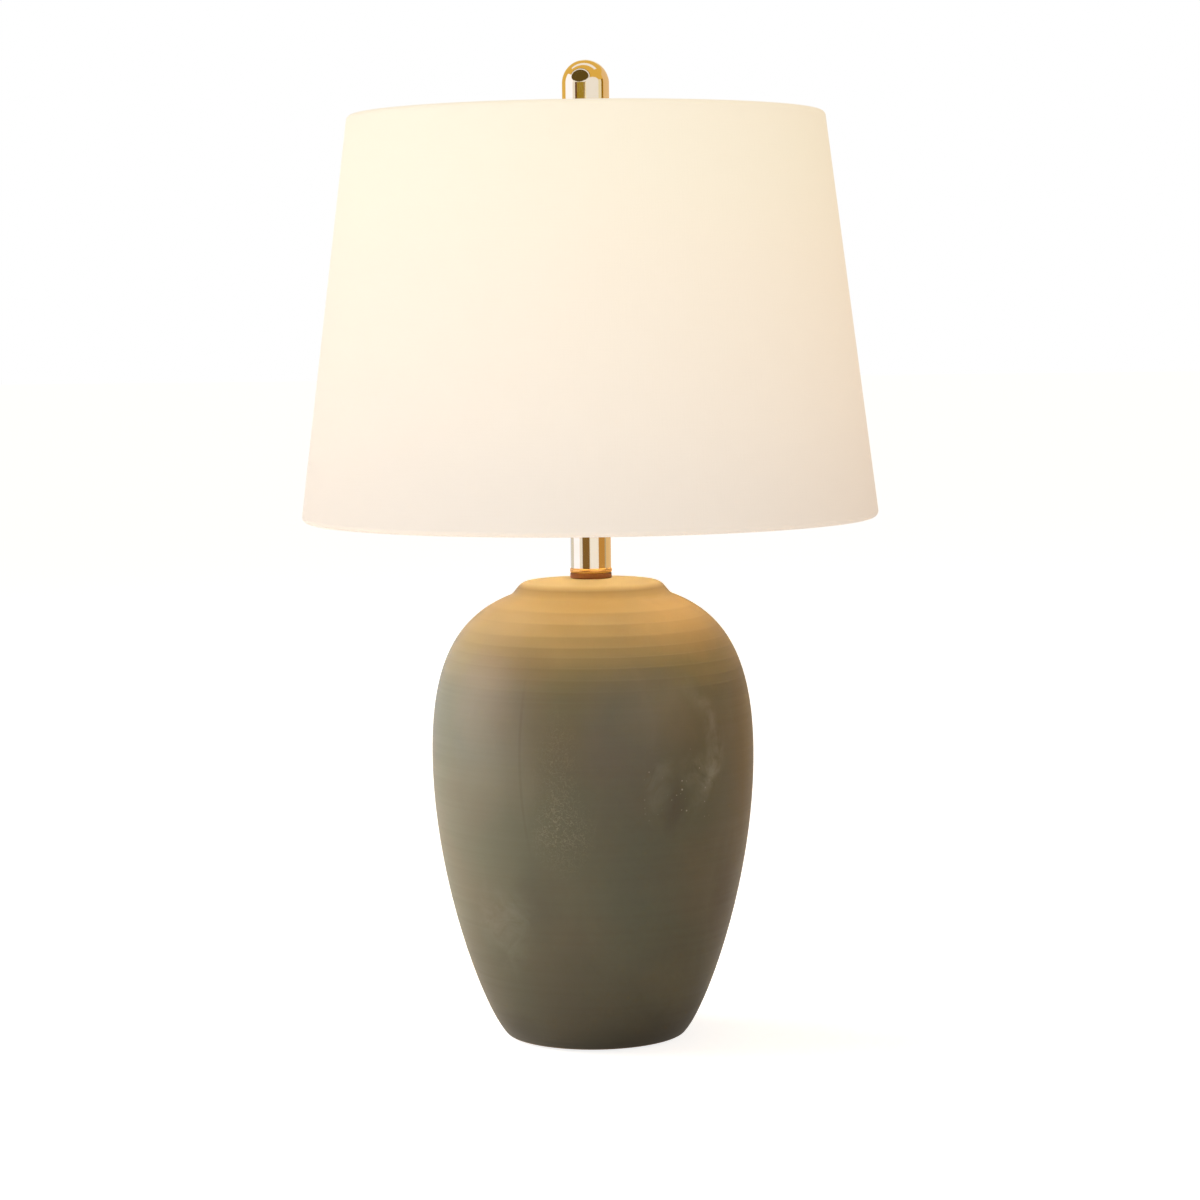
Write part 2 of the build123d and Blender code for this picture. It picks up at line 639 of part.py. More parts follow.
# Fibre liner between the shell and the live parts
liner_bottom_z = shell_bottom_z + LINER_END
liner_top_z = shell_top_z - SHELL_CURL - LINER_END
with BuildPart() as socket_liner:
    with BuildSketch(Plane.XY.offset(liner_bottom_z)):
        Circle(liner_radius)
        Circle(liner_radius - LINER_SHEET, mode=Mode.SUBTRACT)
    extrude(amount=liner_top_z - liner_bottom_z)
    with BuildSketch(knob_plane):
        Circle(SHAFT_WINDOW_RADIUS)
    extrude(amount=CAP_RADIUS, mode=Mode.SUBTRACT)
save(socket_liner.part, "socket_liner")

# Moulded socket body, standing in the cap, with flats for the terminals
terminal_z = liner_bottom_z - TERMINAL_HEAD_RADIUS - LOOSE_GAP
flat_x = body_radius - BODY_FLAT_DEPTH
with BuildPart() as socket_body:
    with BuildSketch(Plane.XY.offset(body_bottom_z)):
        Circle(body_radius)
    extrude(amount=body_top_z - body_bottom_z)
    with BuildSketch(Plane.XY.offset(body_bottom_z)):
        Circle(flat_x - BODY_SKIRT_WALL)
    extrude(amount=BODY_SKIRT_HEIGHT, mode=Mode.SUBTRACT)
    with BuildSketch(Plane.XY.offset(body_bottom_z)):
        for side in (-1, 1):
            with Locations((side * flat_x, 0)):
                Rectangle(
                    2 * BODY_FLAT_DEPTH,
                    2 * body_radius,
                    align=(Align.MAX if side < 0 else Align.MIN, Align.CENTER),
                )
    extrude(amount=liner_bottom_z - body_bottom_z, mode=Mode.SUBTRACT)
    with BuildSketch(Plane.YZ.offset(-body_radius)):
        with Locations((0, terminal_z)):
            Circle(TERMINAL_SHANK_RADIUS + SNUG_GAP)
    extrude(amount=2 * body_radius, mode=Mode.SUBTRACT)
    with BuildSketch(knob_plane.offset(body_radius - SHAFT_BURIED)):
        Circle(SHAFT_RADIUS + RUNNING_GAP)
    extrude(amount=2 * SHAFT_BURIED, mode=Mode.SUBTRACT)
save(socket_body.part, "socket_body")

# Two terminal screws in the body's flats
with BuildPart() as terminal_screws:
    for side in (-1, 1):
        with BuildSketch(Plane.YZ.offset(side * flat_x)):
            with Locations((0, terminal_z)):
                Circle(TERMINAL_HEAD_RADIUS)
        extrude(amount=side * TERMINAL_HEAD_THICKNESS)
        with BuildSketch(Plane.YZ.offset(side * flat_x)):
            with Locations((0, terminal_z)):
                Circle(TERMINAL_SHANK_RADIUS)
        extrude(amount=-side * TERMINAL_SHANK_LENGTH)
save(terminal_screws.part, "terminal_screws")

# Screw shell that takes the bulb
screw_middle_radius = SCREW_RADIUS + LOOSE_GAP + SCREW_SHEET / 2
with BuildPart() as screw_shell:
    with BuildSketch(Plane.XZ):
        with BuildLine():
            FilletPolyline(
                (SCREW_FLOOR_HOLE, body_top_z + SCREW_SHEET / 2),
                (screw_middle_radius, body_top_z + SCREW_SHEET / 2),
                (screw_middle_radius, thread_top_z),
                radius=SCREW_CORNER,
            )
        trace(line_width=SCREW_SHEET)
    revolve(axis=Axis.Z)
save(screw_shell.part, "screw_shell")

# Centre contact, a sprung strip on the body
with BuildPart() as center_contact:
    with BuildSketch(Plane.XZ):
        with BuildLine():
            Polyline(
                (-CONTACT_SPAN / 2, body_top_z + CONTACT_SHEET / 2),
                (-CONTACT_SPAN / 4, body_top_z + CONTACT_SHEET / 2),
            )
            ThreePointArc(
                (-CONTACT_SPAN / 4, body_top_z + CONTACT_SHEET / 2),
                (0, contact_top_z - CONTACT_SHEET / 2),
                (CONTACT_SPAN / 4, body_top_z + CONTACT_SHEET / 2),
            )
            Line(
                (CONTACT_SPAN / 4, body_top_z + CONTACT_SHEET / 2),
                (CONTACT_SPAN / 2, body_top_z + CONTACT_SHEET / 2),
            )
        trace(line_width=CONTACT_SHEET)
    extrude(amount=CONTACT_WIDTH / 2, both=True)
save(center_contact.part, "center_contact")

# Turn switch: a shaft in the body and a fluted knob on it
knob_start = shell_radius + KNOB_GAP
with BuildPart() as switch_shaft:
    with BuildSketch(knob_plane.offset(body_radius - SHAFT_BURIED + SEAT_GAP)):
        Circle(SHAFT_RADIUS)
    extrude(amount=knob_start + KNOB_BORE_DEPTH - body_radius + SHAFT_BURIED - 2 * SEAT_GAP)
save(switch_shaft.part, "switch_shaft")

with BuildPart() as switch_knob:
    with BuildSketch(knob_plane.offset(knob_start)):
        Circle(KNOB_RADIUS)
    extrude(amount=KNOB_LENGTH)
    chamfer(switch_knob.edges().filter_by(GeomType.CIRCLE), KNOB_CHAMFER)
    with BuildSketch(knob_plane.offset(knob_start)):
        with PolarLocations(KNOB_RADIUS, KNOB_FLUTES):
            Circle(KNOB_FLUTE_RADIUS)
    extrude(amount=KNOB_LENGTH, mode=Mode.SUBTRACT)
    with BuildSketch(knob_plane.offset(knob_start)):
        Circle(SHAFT_RADIUS + SNUG_GAP)
    extrude(amount=KNOB_BORE_DEPTH, mode=Mode.SUBTRACT)
save(switch_knob.part, "switch_knob")

# Bulb: tip, insulator, screw cap, housing and dome
cap_middle_radius = SCREW_RADIUS - SCREW_SHEET / 2
cap_bore_radius = SCREW_RADIUS - SCREW_SHEET - SNUG_GAP
dome_edge_radius = BULB_RADIUS - DOME_EDGE_INSET
with BuildPart() as bulb_tip:
    with BuildSketch(Plane.XY.offset(tip_z)):
        Circle(TIP_RADIUS)
    extrude(amount=TIP_THICKNESS)
    fillet(bulb_tip.edges().sort_by(Axis.Z)[0], TIP_THICKNESS / 2)
save(bulb_tip.part, "bulb_tip")

with BuildPart() as bulb_insulator:
    with BuildSketch(Plane.XZ):
        with BuildLine():
            Polyline(
                (0, insulator_z),
                (TIP_RADIUS, insulator_z),
                (INSULATOR_RADIUS, insulator_top_z),
                (0, insulator_top_z),
                close=True,
            )
        make_face()
    revolve(axis=Axis.Z)
save(bulb_insulator.part, "bulb_insulator")

with BuildPart() as bulb_screw_cap:
    with BuildSketch(Plane.XZ):
        with BuildLine():
            Polyline(
                (0, insulator_top_z + SCREW_SHEET / 2),
                (INSULATOR_RADIUS, insulator_top_z + SCREW_SHEET / 2),
                (cap_middle_radius, thread_z),
                (cap_middle_radius, cap_top_z),
            )
        trace(line_width=SCREW_SHEET)
    revolve(axis=Axis.Z)
save(bulb_screw_cap.part, "bulb_screw_cap")

with BuildPart() as bulb_housing:
    with BuildSketch(Plane.XZ):
        with BuildLine():
            Polyline(
                (0, thread_z + SCREW_CORNER),
                (cap_bore_radius, thread_z + SCREW_CORNER),
                (cap_bore_radius, cap_top_z),
                (HOUSING_NECK_RADIUS, cap_top_z),
            )
            Bezier(
                (HOUSING_NECK_RADIUS, cap_top_z),
                (HOUSING_NECK_RADIUS, cap_top_z + HOUSING_NECK_HANDLE),
                (dome_edge_radius, dome_edge_z - HOUSING_TOP_HANDLE),
                (dome_edge_radius, dome_edge_z),
            )
            Polyline(
                (dome_edge_radius, dome_edge_z),
                (dome_edge_radius - DOME_WALL - SNUG_GAP, dome_edge_z),
                (dome_edge_radius - DOME_WALL - SNUG_GAP, dome_edge_z + HOUSING_SPIGOT),
                (0, dome_edge_z + HOUSING_SPIGOT),
                (0, thread_z + SCREW_CORNER),
            )
        make_face()
    revolve(axis=Axis.Z)
save(bulb_housing.part, "bulb_housing")

with BuildPart() as bulb_dome:
    for inset, mode in ((0, Mode.ADD), (DOME_WALL, Mode.SUBTRACT)):
        with BuildSketch(Plane.XZ):
            with BuildLine():
                Bezier(
                    (dome_edge_radius - inset, dome_edge_z),
                    (dome_edge_radius - inset, dome_edge_z + DOME_BAND / 2),
                    (BULB_RADIUS - inset, dome_widest_z - DOME_BAND / 2),
                    (BULB_RADIUS - inset, dome_widest_z),
                )
                RadiusArc(
                    (BULB_RADIUS - inset, dome_widest_z),
                    (0, dome_widest_z + BULB_RADIUS - inset),
                    -(BULB_RADIUS - inset),
                )
                Polyline(
                    (0, dome_widest_z + BULB_RADIUS - inset),
                    (0, dome_edge_z),
                    (dome_edge_radius - inset, dome_edge_z),
                )
            make_face()
        revolve(axis=Axis.Z, mode=mode)
save(bulb_dome.part, "bulb_dome")

# Shade rings, one wire at the top and one at the bottom
with BuildPart() as top_ring:
    with BuildSketch(Plane.XZ):
        with Locations((top_ring_radius, top_ring_z)):
            Circle(RING_WIRE_RADIUS)
    revolve(axis=Axis.Z)
save(top_ring.part, "top_ring")

with BuildPart() as bottom_ring:
    with BuildSketch(Plane.XZ):
        with Locations((bottom_ring_radius, bottom_ring_z)):
            Circle(RING_WIRE_RADIUS)
    revolve(axis=Axis.Z)
save(bottom_ring.part, "bottom_ring")

# Shade fabric: a tapered wall outside both wires, its hems turned over them
top_wire = Vector(top_ring_radius, top_ring_z)
bottom_wire = Vector(bottom_ring_radius, bottom_ring_z)
wall_up = (top_wire - bottom_wire).normalized()
wall_out = Vector(wall_up.Y, -wall_up.X)


def hem_point(wire, side, degrees, radius):
    """Point on a hem, turned from the wall's outside over the top or bottom of a wire."""
    across = wall_out * cos(radians(degrees))
    along = wall_up * (side * sin(radians(degrees)))
    return wire + (across + along) * radius


with BuildPart() as shade_fabric:
    with BuildSketch(Plane.XZ):
        with BuildLine():
            for wire, side in ((bottom_wire, -1), (top_wire, 1)):
                for radius in (fabric_inner_radius, hem_radius):
                    ThreePointArc(
                        hem_point(wire, side, 0, radius),
                        hem_point(wire, side, HEM_WRAP / 2, radius),
                        hem_point(wire, side, HEM_WRAP, radius),
                    )
                Line(
                    hem_point(wire, side, HEM_WRAP, fabric_inner_radius),
                    hem_point(wire, side, HEM_WRAP, hem_radius),
                )
            for radius in (fabric_inner_radius, hem_radius):
                Line(hem_point(bottom_wire, -1, 0, radius), hem_point(top_wire, 1, 0, radius))
        make_face()
    revolve(axis=Axis.Z)
save(shade_fabric.part, "shade_fabric")

# Styrene liner bonded to the fabric's inside, between the wires
liner_low = bottom_wire + wall_up * LINER_MARGIN
liner_high = top_wire - wall_up * LINER_MARGIN
with BuildPart() as shade_liner:
    with BuildSketch(Plane.XZ):
        with BuildLine():
            Polyline(
                liner_low + wall_out * fabric_inner_radius,
                liner_high + wall_out * fabric_inner_radius,
                liner_high + wall_out * (fabric_inner_radius - LINER_THICKNESS),
                liner_low + wall_out * (fabric_inner_radius - LINER_THICKNESS),
                close=True,
            )
        make_face()
    revolve(axis=Axis.Z)
save(shade_liner.part, "shade_liner")

# Spider: a drilled hub and rods welded from its rim to the top ring
with BuildPart() as spider_hub:
    with BuildSketch(Plane.XY.offset(hub_z)):
        Circle(HUB_RADIUS)
        Circle(STUD_RADIUS + HUB_HOLE_GAP, mode=Mode.SUBTRACT)
    extrude(amount=HUB_THICKNESS)
save(spider_hub.part, "spider_hub")

arm_z = hub_top_z - ARM_RADIUS - LOOSE_GAP
with BuildPart() as spider_arm:
    with BuildLine(Plane.XZ) as arm_path:
        FilletPolyline(
            (HUB_RADIUS / 2, arm_z),
            (top_ring_radius - ARM_RISE_RUN, arm_z),
            (top_ring_radius, top_ring_z),
            radius=ARM_BEND,
        )
    with BuildSketch(Plane(origin=(HUB_RADIUS / 2, 0, arm_z), z_dir=(1, 0, 0))):
        Circle(ARM_RADIUS)
    sweep(path=arm_path.wire())
    with BuildSketch(Plane.XY.offset(arm_z - 2 * ARM_RADIUS)):
        Circle(HUB_RADIUS)
    extrude(amount=4 * ARM_RADIUS, mode=Mode.SUBTRACT)
    add(top_ring.part, mode=Mode.SUBTRACT)
with BuildPart() as spider_arms:
    with PolarLocations(0, ARM_COUNT, start_angle=90):
        add(spider_arm.part)
save(spider_arms.part, "spider_arms")

# Finial: a solid brass capsule screwed on the stud
finial_dome_z = finial_z + FINIAL_HEIGHT - FINIAL_RADIUS
with BuildPart() as finial:
    with BuildSketch(Plane.XZ):
        with BuildLine():
            Polyline(
                (0, finial_dome_z + FINIAL_RADIUS),
                (0, finial_z),
                (FINIAL_RADIUS, finial_z),
                (FINIAL_RADIUS, finial_dome_z),
            )
            RadiusArc(
                (FINIAL_RADIUS, finial_dome_z),
                (0, finial_dome_z + FINIAL_RADIUS),
                -FINIAL_RADIUS,
            )
        make_face()
    revolve(axis=Axis.Z)
    fillet(ring_edge(finial.part, FINIAL_RADIUS, finial_z), FINIAL_EDGE_FILLET)
    with BuildSketch(Plane.XY.offset(finial_z)):
        Circle(STUD_RADIUS + RUNNING_GAP)
    extrude(amount=seat_z + STUD_LENGTH + FINIAL_HOLE_END - finial_z, mode=Mode.SUBTRACT)
save(finial.part, "finial")
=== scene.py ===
import math

import bpy
from mathutils import Matrix, Vector


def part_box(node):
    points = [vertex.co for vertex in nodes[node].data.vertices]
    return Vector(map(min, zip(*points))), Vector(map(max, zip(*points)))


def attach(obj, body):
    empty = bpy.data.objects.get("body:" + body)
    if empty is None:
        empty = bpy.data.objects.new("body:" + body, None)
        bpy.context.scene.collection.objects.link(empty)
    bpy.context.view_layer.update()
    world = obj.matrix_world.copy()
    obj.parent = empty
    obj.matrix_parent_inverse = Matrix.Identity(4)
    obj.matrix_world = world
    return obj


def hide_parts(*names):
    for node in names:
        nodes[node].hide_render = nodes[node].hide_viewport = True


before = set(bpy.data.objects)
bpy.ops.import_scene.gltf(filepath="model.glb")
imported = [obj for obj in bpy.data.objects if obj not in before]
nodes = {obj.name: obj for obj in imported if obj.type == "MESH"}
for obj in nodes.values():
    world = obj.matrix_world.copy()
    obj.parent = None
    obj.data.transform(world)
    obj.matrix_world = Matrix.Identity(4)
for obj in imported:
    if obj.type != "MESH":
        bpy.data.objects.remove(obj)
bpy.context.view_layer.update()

# Jar. Stoneware thrown on a wheel, dipped in a satin olive-brown glaze and fired once.
# The glaze pools greener on the belly, breaks to brown at the shoulder and foot, and keeps
# the thrower's finger rings. Painted light and shade ride in its colour too: the bulb's warm light
# on the shoulder and crown, shade in the lip's cove, the rings and the foot, and lit and shaded
# tones on the front. The foot ring is wiped bare so that it doesn't stick to the kiln.


def linear(hex_colour):
    """An sRGB hex colour as linear red, green, blue and alpha."""
    channels = [int(hex_colour[i:i + 2], 16) / 255 for i in (1, 3, 5)]
    return [c / 12.92 if c <= 0.04045 else ((c + 0.055) / 1.055) ** 2.4 for c in channels] + [1.0]


def add_node(material, kind, inputs=None, **settings):
    """Add a node, set it up, and feed its inputs with values or with other nodes' outputs."""
    node = material.node_tree.nodes.new(kind)
    for name, value in settings.items():
        setattr(node, name, value)
    for socket, source in (inputs or {}).items():
        if isinstance(source, bpy.types.NodeSocket):
            material.node_tree.links.new(source, node.inputs[socket])
        else:
            node.inputs[socket].default_value = source
    return node


def start_material(name):
    """A new material, its shader, and the place on the piece that its patterns follow."""
    material = bpy.data.materials.new(name)
    material.use_nodes = True
    place = add_node(material, "ShaderNodeTexCoord").outputs["Object"]
    return material, material.node_tree.nodes["Principled BSDF"], place


# A Mix node's colour inputs and output go by number, because its other sockets share their names.
MIX_A, MIX_B, MIX_RESULT = 6, 7, 2
glaze, shader, place = start_material("satin_olive_stoneware_glaze")
spot = add_node(glaze, "ShaderNodeSeparateXYZ", {"Vector": place})
height = spot.outputs["Z"]
# Pools of glaze about 70 mm across, greener where it ran thick.
POOL_SIZE = 0.070
pools = add_node(
    glaze, "ShaderNodeTexNoise",
    {"Vector": place, "Scale": 1 / POOL_SIZE, "Detail": 3.0, "Roughness": 0.55},
)
pool_share = add_node(
    glaze, "ShaderNodeMapRange", {"Value": pools.outputs["Fac"], "From Min": 0.40, "From Max": 0.60}
)
body_colour = add_node(
    glaze, "ShaderNodeMix",
    {"Factor": pool_share.outputs[0], MIX_A: linear("#6C6855"), MIX_B: linear("#696A57")},
    data_type="RGBA",
)
# Brush marks that run round the jar: 2.5 mm high and about 170 mm long, and hardly darker.
WIPE_LENGTH = 1 / 6
WIPE_HEIGHT = 0.0025
WIPE_STRENGTH = 0.09
round_the_jar = add_node(
    glaze, "ShaderNodeMapping",
    {"Vector": place, "Scale": (1 / WIPE_LENGTH, 1 / WIPE_LENGTH, 1 / WIPE_HEIGHT)},
)
wipes = add_node(
    glaze, "ShaderNodeTexNoise", {"Vector": round_the_jar.outputs[0], "Scale": 1.0, "Detail": 3.0}
)
wipe_share = add_node(
    glaze, "ShaderNodeMapRange",
    {
        "Value": wipes.outputs["Fac"], "From Min": 0.40, "From Max": 0.70, "To Min": 0.0,
        "To Max": WIPE_STRENGTH,
    },
)
wiped = add_node(
    glaze, "ShaderNodeMix",
    {"Factor": wipe_share.outputs[0], MIX_A: body_colour.outputs[MIX_RESULT], MIX_B: linear("#5C5644")},
    data_type="RGBA",
)
# Thin smears of paler glaze, about 30 mm wide and 80 mm tall, where it was rubbed by hand.
SMEAR_WIDTH = 0.030
SMEAR_HEIGHT = 0.080
SMEAR_STRENGTH = 0.14
down_the_jar = add_node(
    glaze, "ShaderNodeMapping",
    {"Vector": place, "Scale": (1 / SMEAR_WIDTH, 1 / SMEAR_WIDTH, 1 / SMEAR_HEIGHT)},
)
smears = add_node(
    glaze, "ShaderNodeTexNoise",
    {"Vector": down_the_jar.outputs[0], "Scale": 1.0, "Detail": 5.0, "Distortion": 0.6},
)
smear_share = add_node(
    glaze, "ShaderNodeMapRange",
    {
        "Value": smears.outputs["Fac"], "From Min": 0.54, "From Max": 0.74, "To Min": 0.0,
        "To Max": SMEAR_STRENGTH,
    },
)
smeared = add_node(
    glaze, "ShaderNodeMix",
    {"Factor": smear_share.outputs[0], MIX_A: wiped.outputs[MIX_RESULT], MIX_B: linear("#85816E")},
    data_type="RGBA",
)
# The glaze breaks to a warmer, thinner brown on the shoulder, which also holds painted light from
# the bulb above, and gathers dark at the foot, which also holds painted shade low on the jar.
SHOULDER_START, SHOULDER_FULL = 0.222, 0.275
SHOULDER_STRENGTH = 0.68
FOOT_START, FOOT_FULL = 0.100, 0.010
FOOT_STRENGTH = 0.75
shoulder_share = add_node(
    glaze, "ShaderNodeMapRange",
    {
        "Value": height, "From Min": SHOULDER_START, "From Max": SHOULDER_FULL, "To Min": 0.0,
        "To Max": SHOULDER_STRENGTH,
    },
)
shoulder_glaze_and_painted_light = add_node(
    glaze, "ShaderNodeMix",
    {"Factor": shoulder_share.outputs[0], MIX_A: smeared.outputs[MIX_RESULT], MIX_B: linear("#9E8B5D")},
    data_type="RGBA",
)
foot_share = add_node(
    glaze, "ShaderNodeMapRange",
    {
        "Value": height, "From Min": FOOT_START, "From Max": FOOT_FULL, "To Min": 0.0,
        "To Max": FOOT_STRENGTH,
    },
)
foot_glaze_and_painted_shade = add_node(
    glaze, "ShaderNodeMix",
    {
        "Factor": foot_share.outputs[0], MIX_A: shoulder_glaze_and_painted_light.outputs[MIX_RESULT],
        MIX_B: linear("#3F3824"),
    },
    data_type="RGBA",
)
# On the crown inside the lip it ran off and is thinnest, a pale gold, made paler still as painted
# light from the bulb above.
CROWN_START, CROWN_FULL = 0.2815, 0.2864
CROWN_STRENGTH = 0.85
crown_share = add_node(
    glaze, "ShaderNodeMapRange",
    {
        "Value": height, "From Min": CROWN_START, "From Max": CROWN_FULL, "To Min": 0.0,
        "To Max": CROWN_STRENGTH,
    },
)
crown_glaze_and_painted_light = add_node(
    glaze, "ShaderNodeMix",
    {"Factor": crown_share.outputs[0], MIX_A: foot_glaze_and_painted_shade.outputs[MIX_RESULT], MIX_B: linear("#D0CBAA")},
    data_type="RGBA",
)
# It gathers again on the steep side of the lip, which is darker half way down, as pooled glaze and
# as painted shade under the lip's edge.
LIP_FOOT, LIP_DARK_FROM = 0.2778, 0.2812
LIP_DARK_TO, LIP_TOP = 0.2818, 0.2848
LIP_STRENGTH = 0.36
lip_below = add_node(
    glaze, "ShaderNodeMapRange", {"Value": height, "From Min": LIP_FOOT, "From Max": LIP_DARK_FROM}
)
lip_above = add_node(
    glaze, "ShaderNodeMapRange",
    {
        "Value": height, "From Min": LIP_TOP, "From Max": LIP_DARK_TO, "To Min": 0.0,
        "To Max": LIP_STRENGTH,
    },
)
lip_share = add_node(
    glaze, "ShaderNodeMath", {0: lip_below.outputs[0], 1: lip_above.outputs[0]}, operation="MULTIPLY"
)
lip_glaze_and_painted_shade = add_node(
    glaze, "ShaderNodeMix",
    {"Factor": lip_share.outputs[0], MIX_A: crown_glaze_and_painted_light.outputs[MIX_RESULT], MIX_B: linear("#5E4C2C")},
    data_type="RGBA",
)
# Finger rings on the shoulder, 5 to 8 mm apart: each is a soft step, dark under its upper edge,
# where glaze pools in the groove and painted shade falls there too. They are fainter on the left.
RING_PITCH = 0.0063
RING_DRIFT_HEIGHT = 0.014
RING_DRIFT_TURN = 1.5
RINGS_START, RINGS_FULL = 0.205, 0.245
RINGS_FADE, RINGS_END = 0.2725, 0.2785
slow_place = add_node(
    glaze, "ShaderNodeMapping",
    {"Vector": place, "Scale": (RING_DRIFT_TURN, RING_DRIFT_TURN, 1 / RING_DRIFT_HEIGHT)},
)
drift = add_node(
    glaze, "ShaderNodeTexNoise", {"Vector": slow_place.outputs[0], "Scale": 1.0, "Detail": 1.0}
)
ring_shift = add_node(
    glaze, "ShaderNodeMapRange", {"Value": drift.outputs["Fac"], "To Min": -0.5, "To Max": 0.5}
)
ring_count = add_node(
    glaze, "ShaderNodeMath",
    {0: height, 1: 1 / RING_PITCH, 2: ring_shift.outputs[0]}, operation="MULTIPLY_ADD",
)
ring_step = add_node(glaze, "ShaderNodeMath", {0: ring_count.outputs[0]}, operation="FRACT")
under_edge = add_node(
    glaze, "ShaderNodeMapRange", {"Value": ring_step.outputs[0], "From Min": 0.0, "From Max": 0.92}
)
edge_soft = add_node(
    glaze, "ShaderNodeMapRange", {"Value": ring_step.outputs[0], "From Min": 1.0, "From Max": 0.86}
)
ring_dip = add_node(
    glaze, "ShaderNodeMath", {0: under_edge.outputs[0], 1: edge_soft.outputs[0]}, operation="MULTIPLY"
)
ring_rise = add_node(
    glaze, "ShaderNodeMapRange", {"Value": height, "From Min": RINGS_START, "From Max": RINGS_FULL}
)
ring_fall = add_node(
    glaze, "ShaderNodeMapRange", {"Value": height, "From Min": RINGS_END, "From Max": RINGS_FADE}
)
ring_side = add_node(
    glaze, "ShaderNodeMapRange",
    {"Value": spot.outputs["X"], "From Min": -0.085, "From Max": -0.030, "To Min": 0.25, "To Max": 1.0},
)
ring_span = add_node(
    glaze, "ShaderNodeMath", {0: ring_rise.outputs[0], 1: ring_fall.outputs[0]}, operation="MULTIPLY"
)
ring_depth = add_node(
    glaze, "ShaderNodeMath", {0: ring_span.outputs[0], 1: ring_side.outputs[0]}, operation="MULTIPLY"
)
ring_relief = add_node(
    glaze, "ShaderNodeMath", {0: ring_dip.outputs[0], 1: ring_depth.outputs[0]}, operation="MULTIPLY"
)
ring_strength = add_node(
    glaze, "ShaderNodeMapRange",
    {"Value": drift.outputs["Fac"], "From Min": 0.35, "From Max": 0.65, "To Min": 0.14, "To Max": 0.30},
)
groove_pool_and_shade_share = add_node(
    glaze, "ShaderNodeMath",
    {0: ring_relief.outputs[0], 1: ring_strength.outputs[0]}, operation="MULTIPLY",
)
marked = add_node(
    glaze, "ShaderNodeMix",
    {"Factor": groove_pool_and_shade_share.outputs[0], MIX_A: lip_glaze_and_painted_shade.outputs[MIX_RESULT], MIX_B: linear("#54452F")},
    data_type="RGBA",
)
# Marks on the front. Broad paler and darker tones, several of them painted light and shade. Marks of
# firing and of use: tangled hair scuffs 0.3 mm wide, pale rubbed clouds, specks up to 1.3 mm across,
# pits of 0.5 mm. And two bowed lines, one of them a painted reflection edge.
HAIR_TANGLE = 0.0034
RUB_SIZE = 0.020
SPECK_SPACING = 0.0028
PIT_SPACING = 0.022
hair = 0.0
for seed in (0.0, 4.0):
    field = add_node(
        glaze, "ShaderNodeTexNoise",
        {"Vector": place, "W": seed, "Scale": 1 / HAIR_TANGLE, "Detail": 1.0, "Distortion": 0.8},
        noise_dimensions="4D",
    )
    off_middle = add_node(
        glaze, "ShaderNodeMath", {0: field.outputs["Fac"], 1: 0.5}, operation="SUBTRACT"
    )
    off_line = add_node(glaze, "ShaderNodeMath", {0: off_middle.outputs[0]}, operation="ABSOLUTE")
    line = add_node(
        glaze, "ShaderNodeMapRange", {"Value": off_line.outputs[0], "From Min": 0.020, "From Max": 0.004}
    )
    hair = add_node(
        glaze, "ShaderNodeMath", {0: hair, 1: line.outputs[0]}, operation="MAXIMUM"
    ).outputs[0]
rubs = add_node(
    glaze, "ShaderNodeTexNoise",
    {"Vector": place, "Scale": 1 / RUB_SIZE, "Detail": 5.0, "Roughness": 0.6, "Distortion": 0.9},
)
cloud = add_node(
    glaze, "ShaderNodeMapRange", {"Value": rubs.outputs["Fac"], "From Min": 0.40, "From Max": 0.66}
).outputs[0]
dots = add_node(glaze, "ShaderNodeTexVoronoi", {"Vector": place, "Scale": 1 / SPECK_SPACING})
dot_pick = add_node(glaze, "ShaderNodeSeparateXYZ", {"Vector": dots.outputs["Color"]})
dot_size = add_node(
    glaze, "ShaderNodeMapRange",
    {"Value": dot_pick.outputs["X"], "From Min": 0.40, "From Max": 1.0, "To Min": 0.0, "To Max": 0.24},
)
dot_edge = add_node(
    glaze, "ShaderNodeMath", {0: dot_size.outputs[0], 1: dots.outputs["Distance"]}, operation="SUBTRACT"
)
specks = add_node(
    glaze, "ShaderNodeMapRange", {"Value": dot_edge.outputs[0], "From Min": 0.0, "From Max": 0.07}
).outputs[0]
holes = add_node(glaze, "ShaderNodeTexVoronoi", {"Vector": place, "Scale": 1 / PIT_SPACING})
pits = add_node(
    glaze, "ShaderNodeMapRange",
    {"Value": holes.outputs["Distance"], "From Min": 0.016, "From Max": 0.010},
).outputs[0]
# Two lines bow up the belly: a painted reflection edge, where a soft box's reflection ends in the gloss,
# and a veil of glaze that ran down.
# Each has the height of its bow, the bow's rate and its sideways place there, and how far from
# its middle it is gone and how near it is full.
bowed_lines = []
for bow_height, bow_rate, bow_side, gone, full in (
    (0.185, 1.8, -0.0436, 0.0011, 0.0004),
    (0.188, -11.5, 0.0745, 0.0075, 0.0005),
):
    from_bow = add_node(
        glaze, "ShaderNodeMath", {0: height, 1: bow_height}, operation="SUBTRACT"
    ).outputs[0]
    bow = add_node(glaze, "ShaderNodeMath", {0: from_bow, 1: from_bow}, operation="MULTIPLY")
    line_side = add_node(
        glaze, "ShaderNodeMath", {0: bow.outputs[0], 1: bow_rate, 2: bow_side}, operation="MULTIPLY_ADD"
    )
    from_line = add_node(
        glaze, "ShaderNodeMath", {0: spot.outputs["X"], 1: line_side.outputs[0]}, operation="SUBTRACT"
    )
    off_line = add_node(glaze, "ShaderNodeMath", {0: from_line.outputs[0]}, operation="ABSOLUTE")
    bowed_line = add_node(
        glaze, "ShaderNodeMapRange", {"Value": off_line.outputs[0], "From Min": gone, "From Max": full}
    )
    bowed_lines.append(bowed_line.outputs[0])
painted_reflection_edge, run = bowed_lines
veil = add_node(glaze, "ShaderNodeMath", {0: run, 1: cloud}, operation="MULTIPLY").outputs[0]
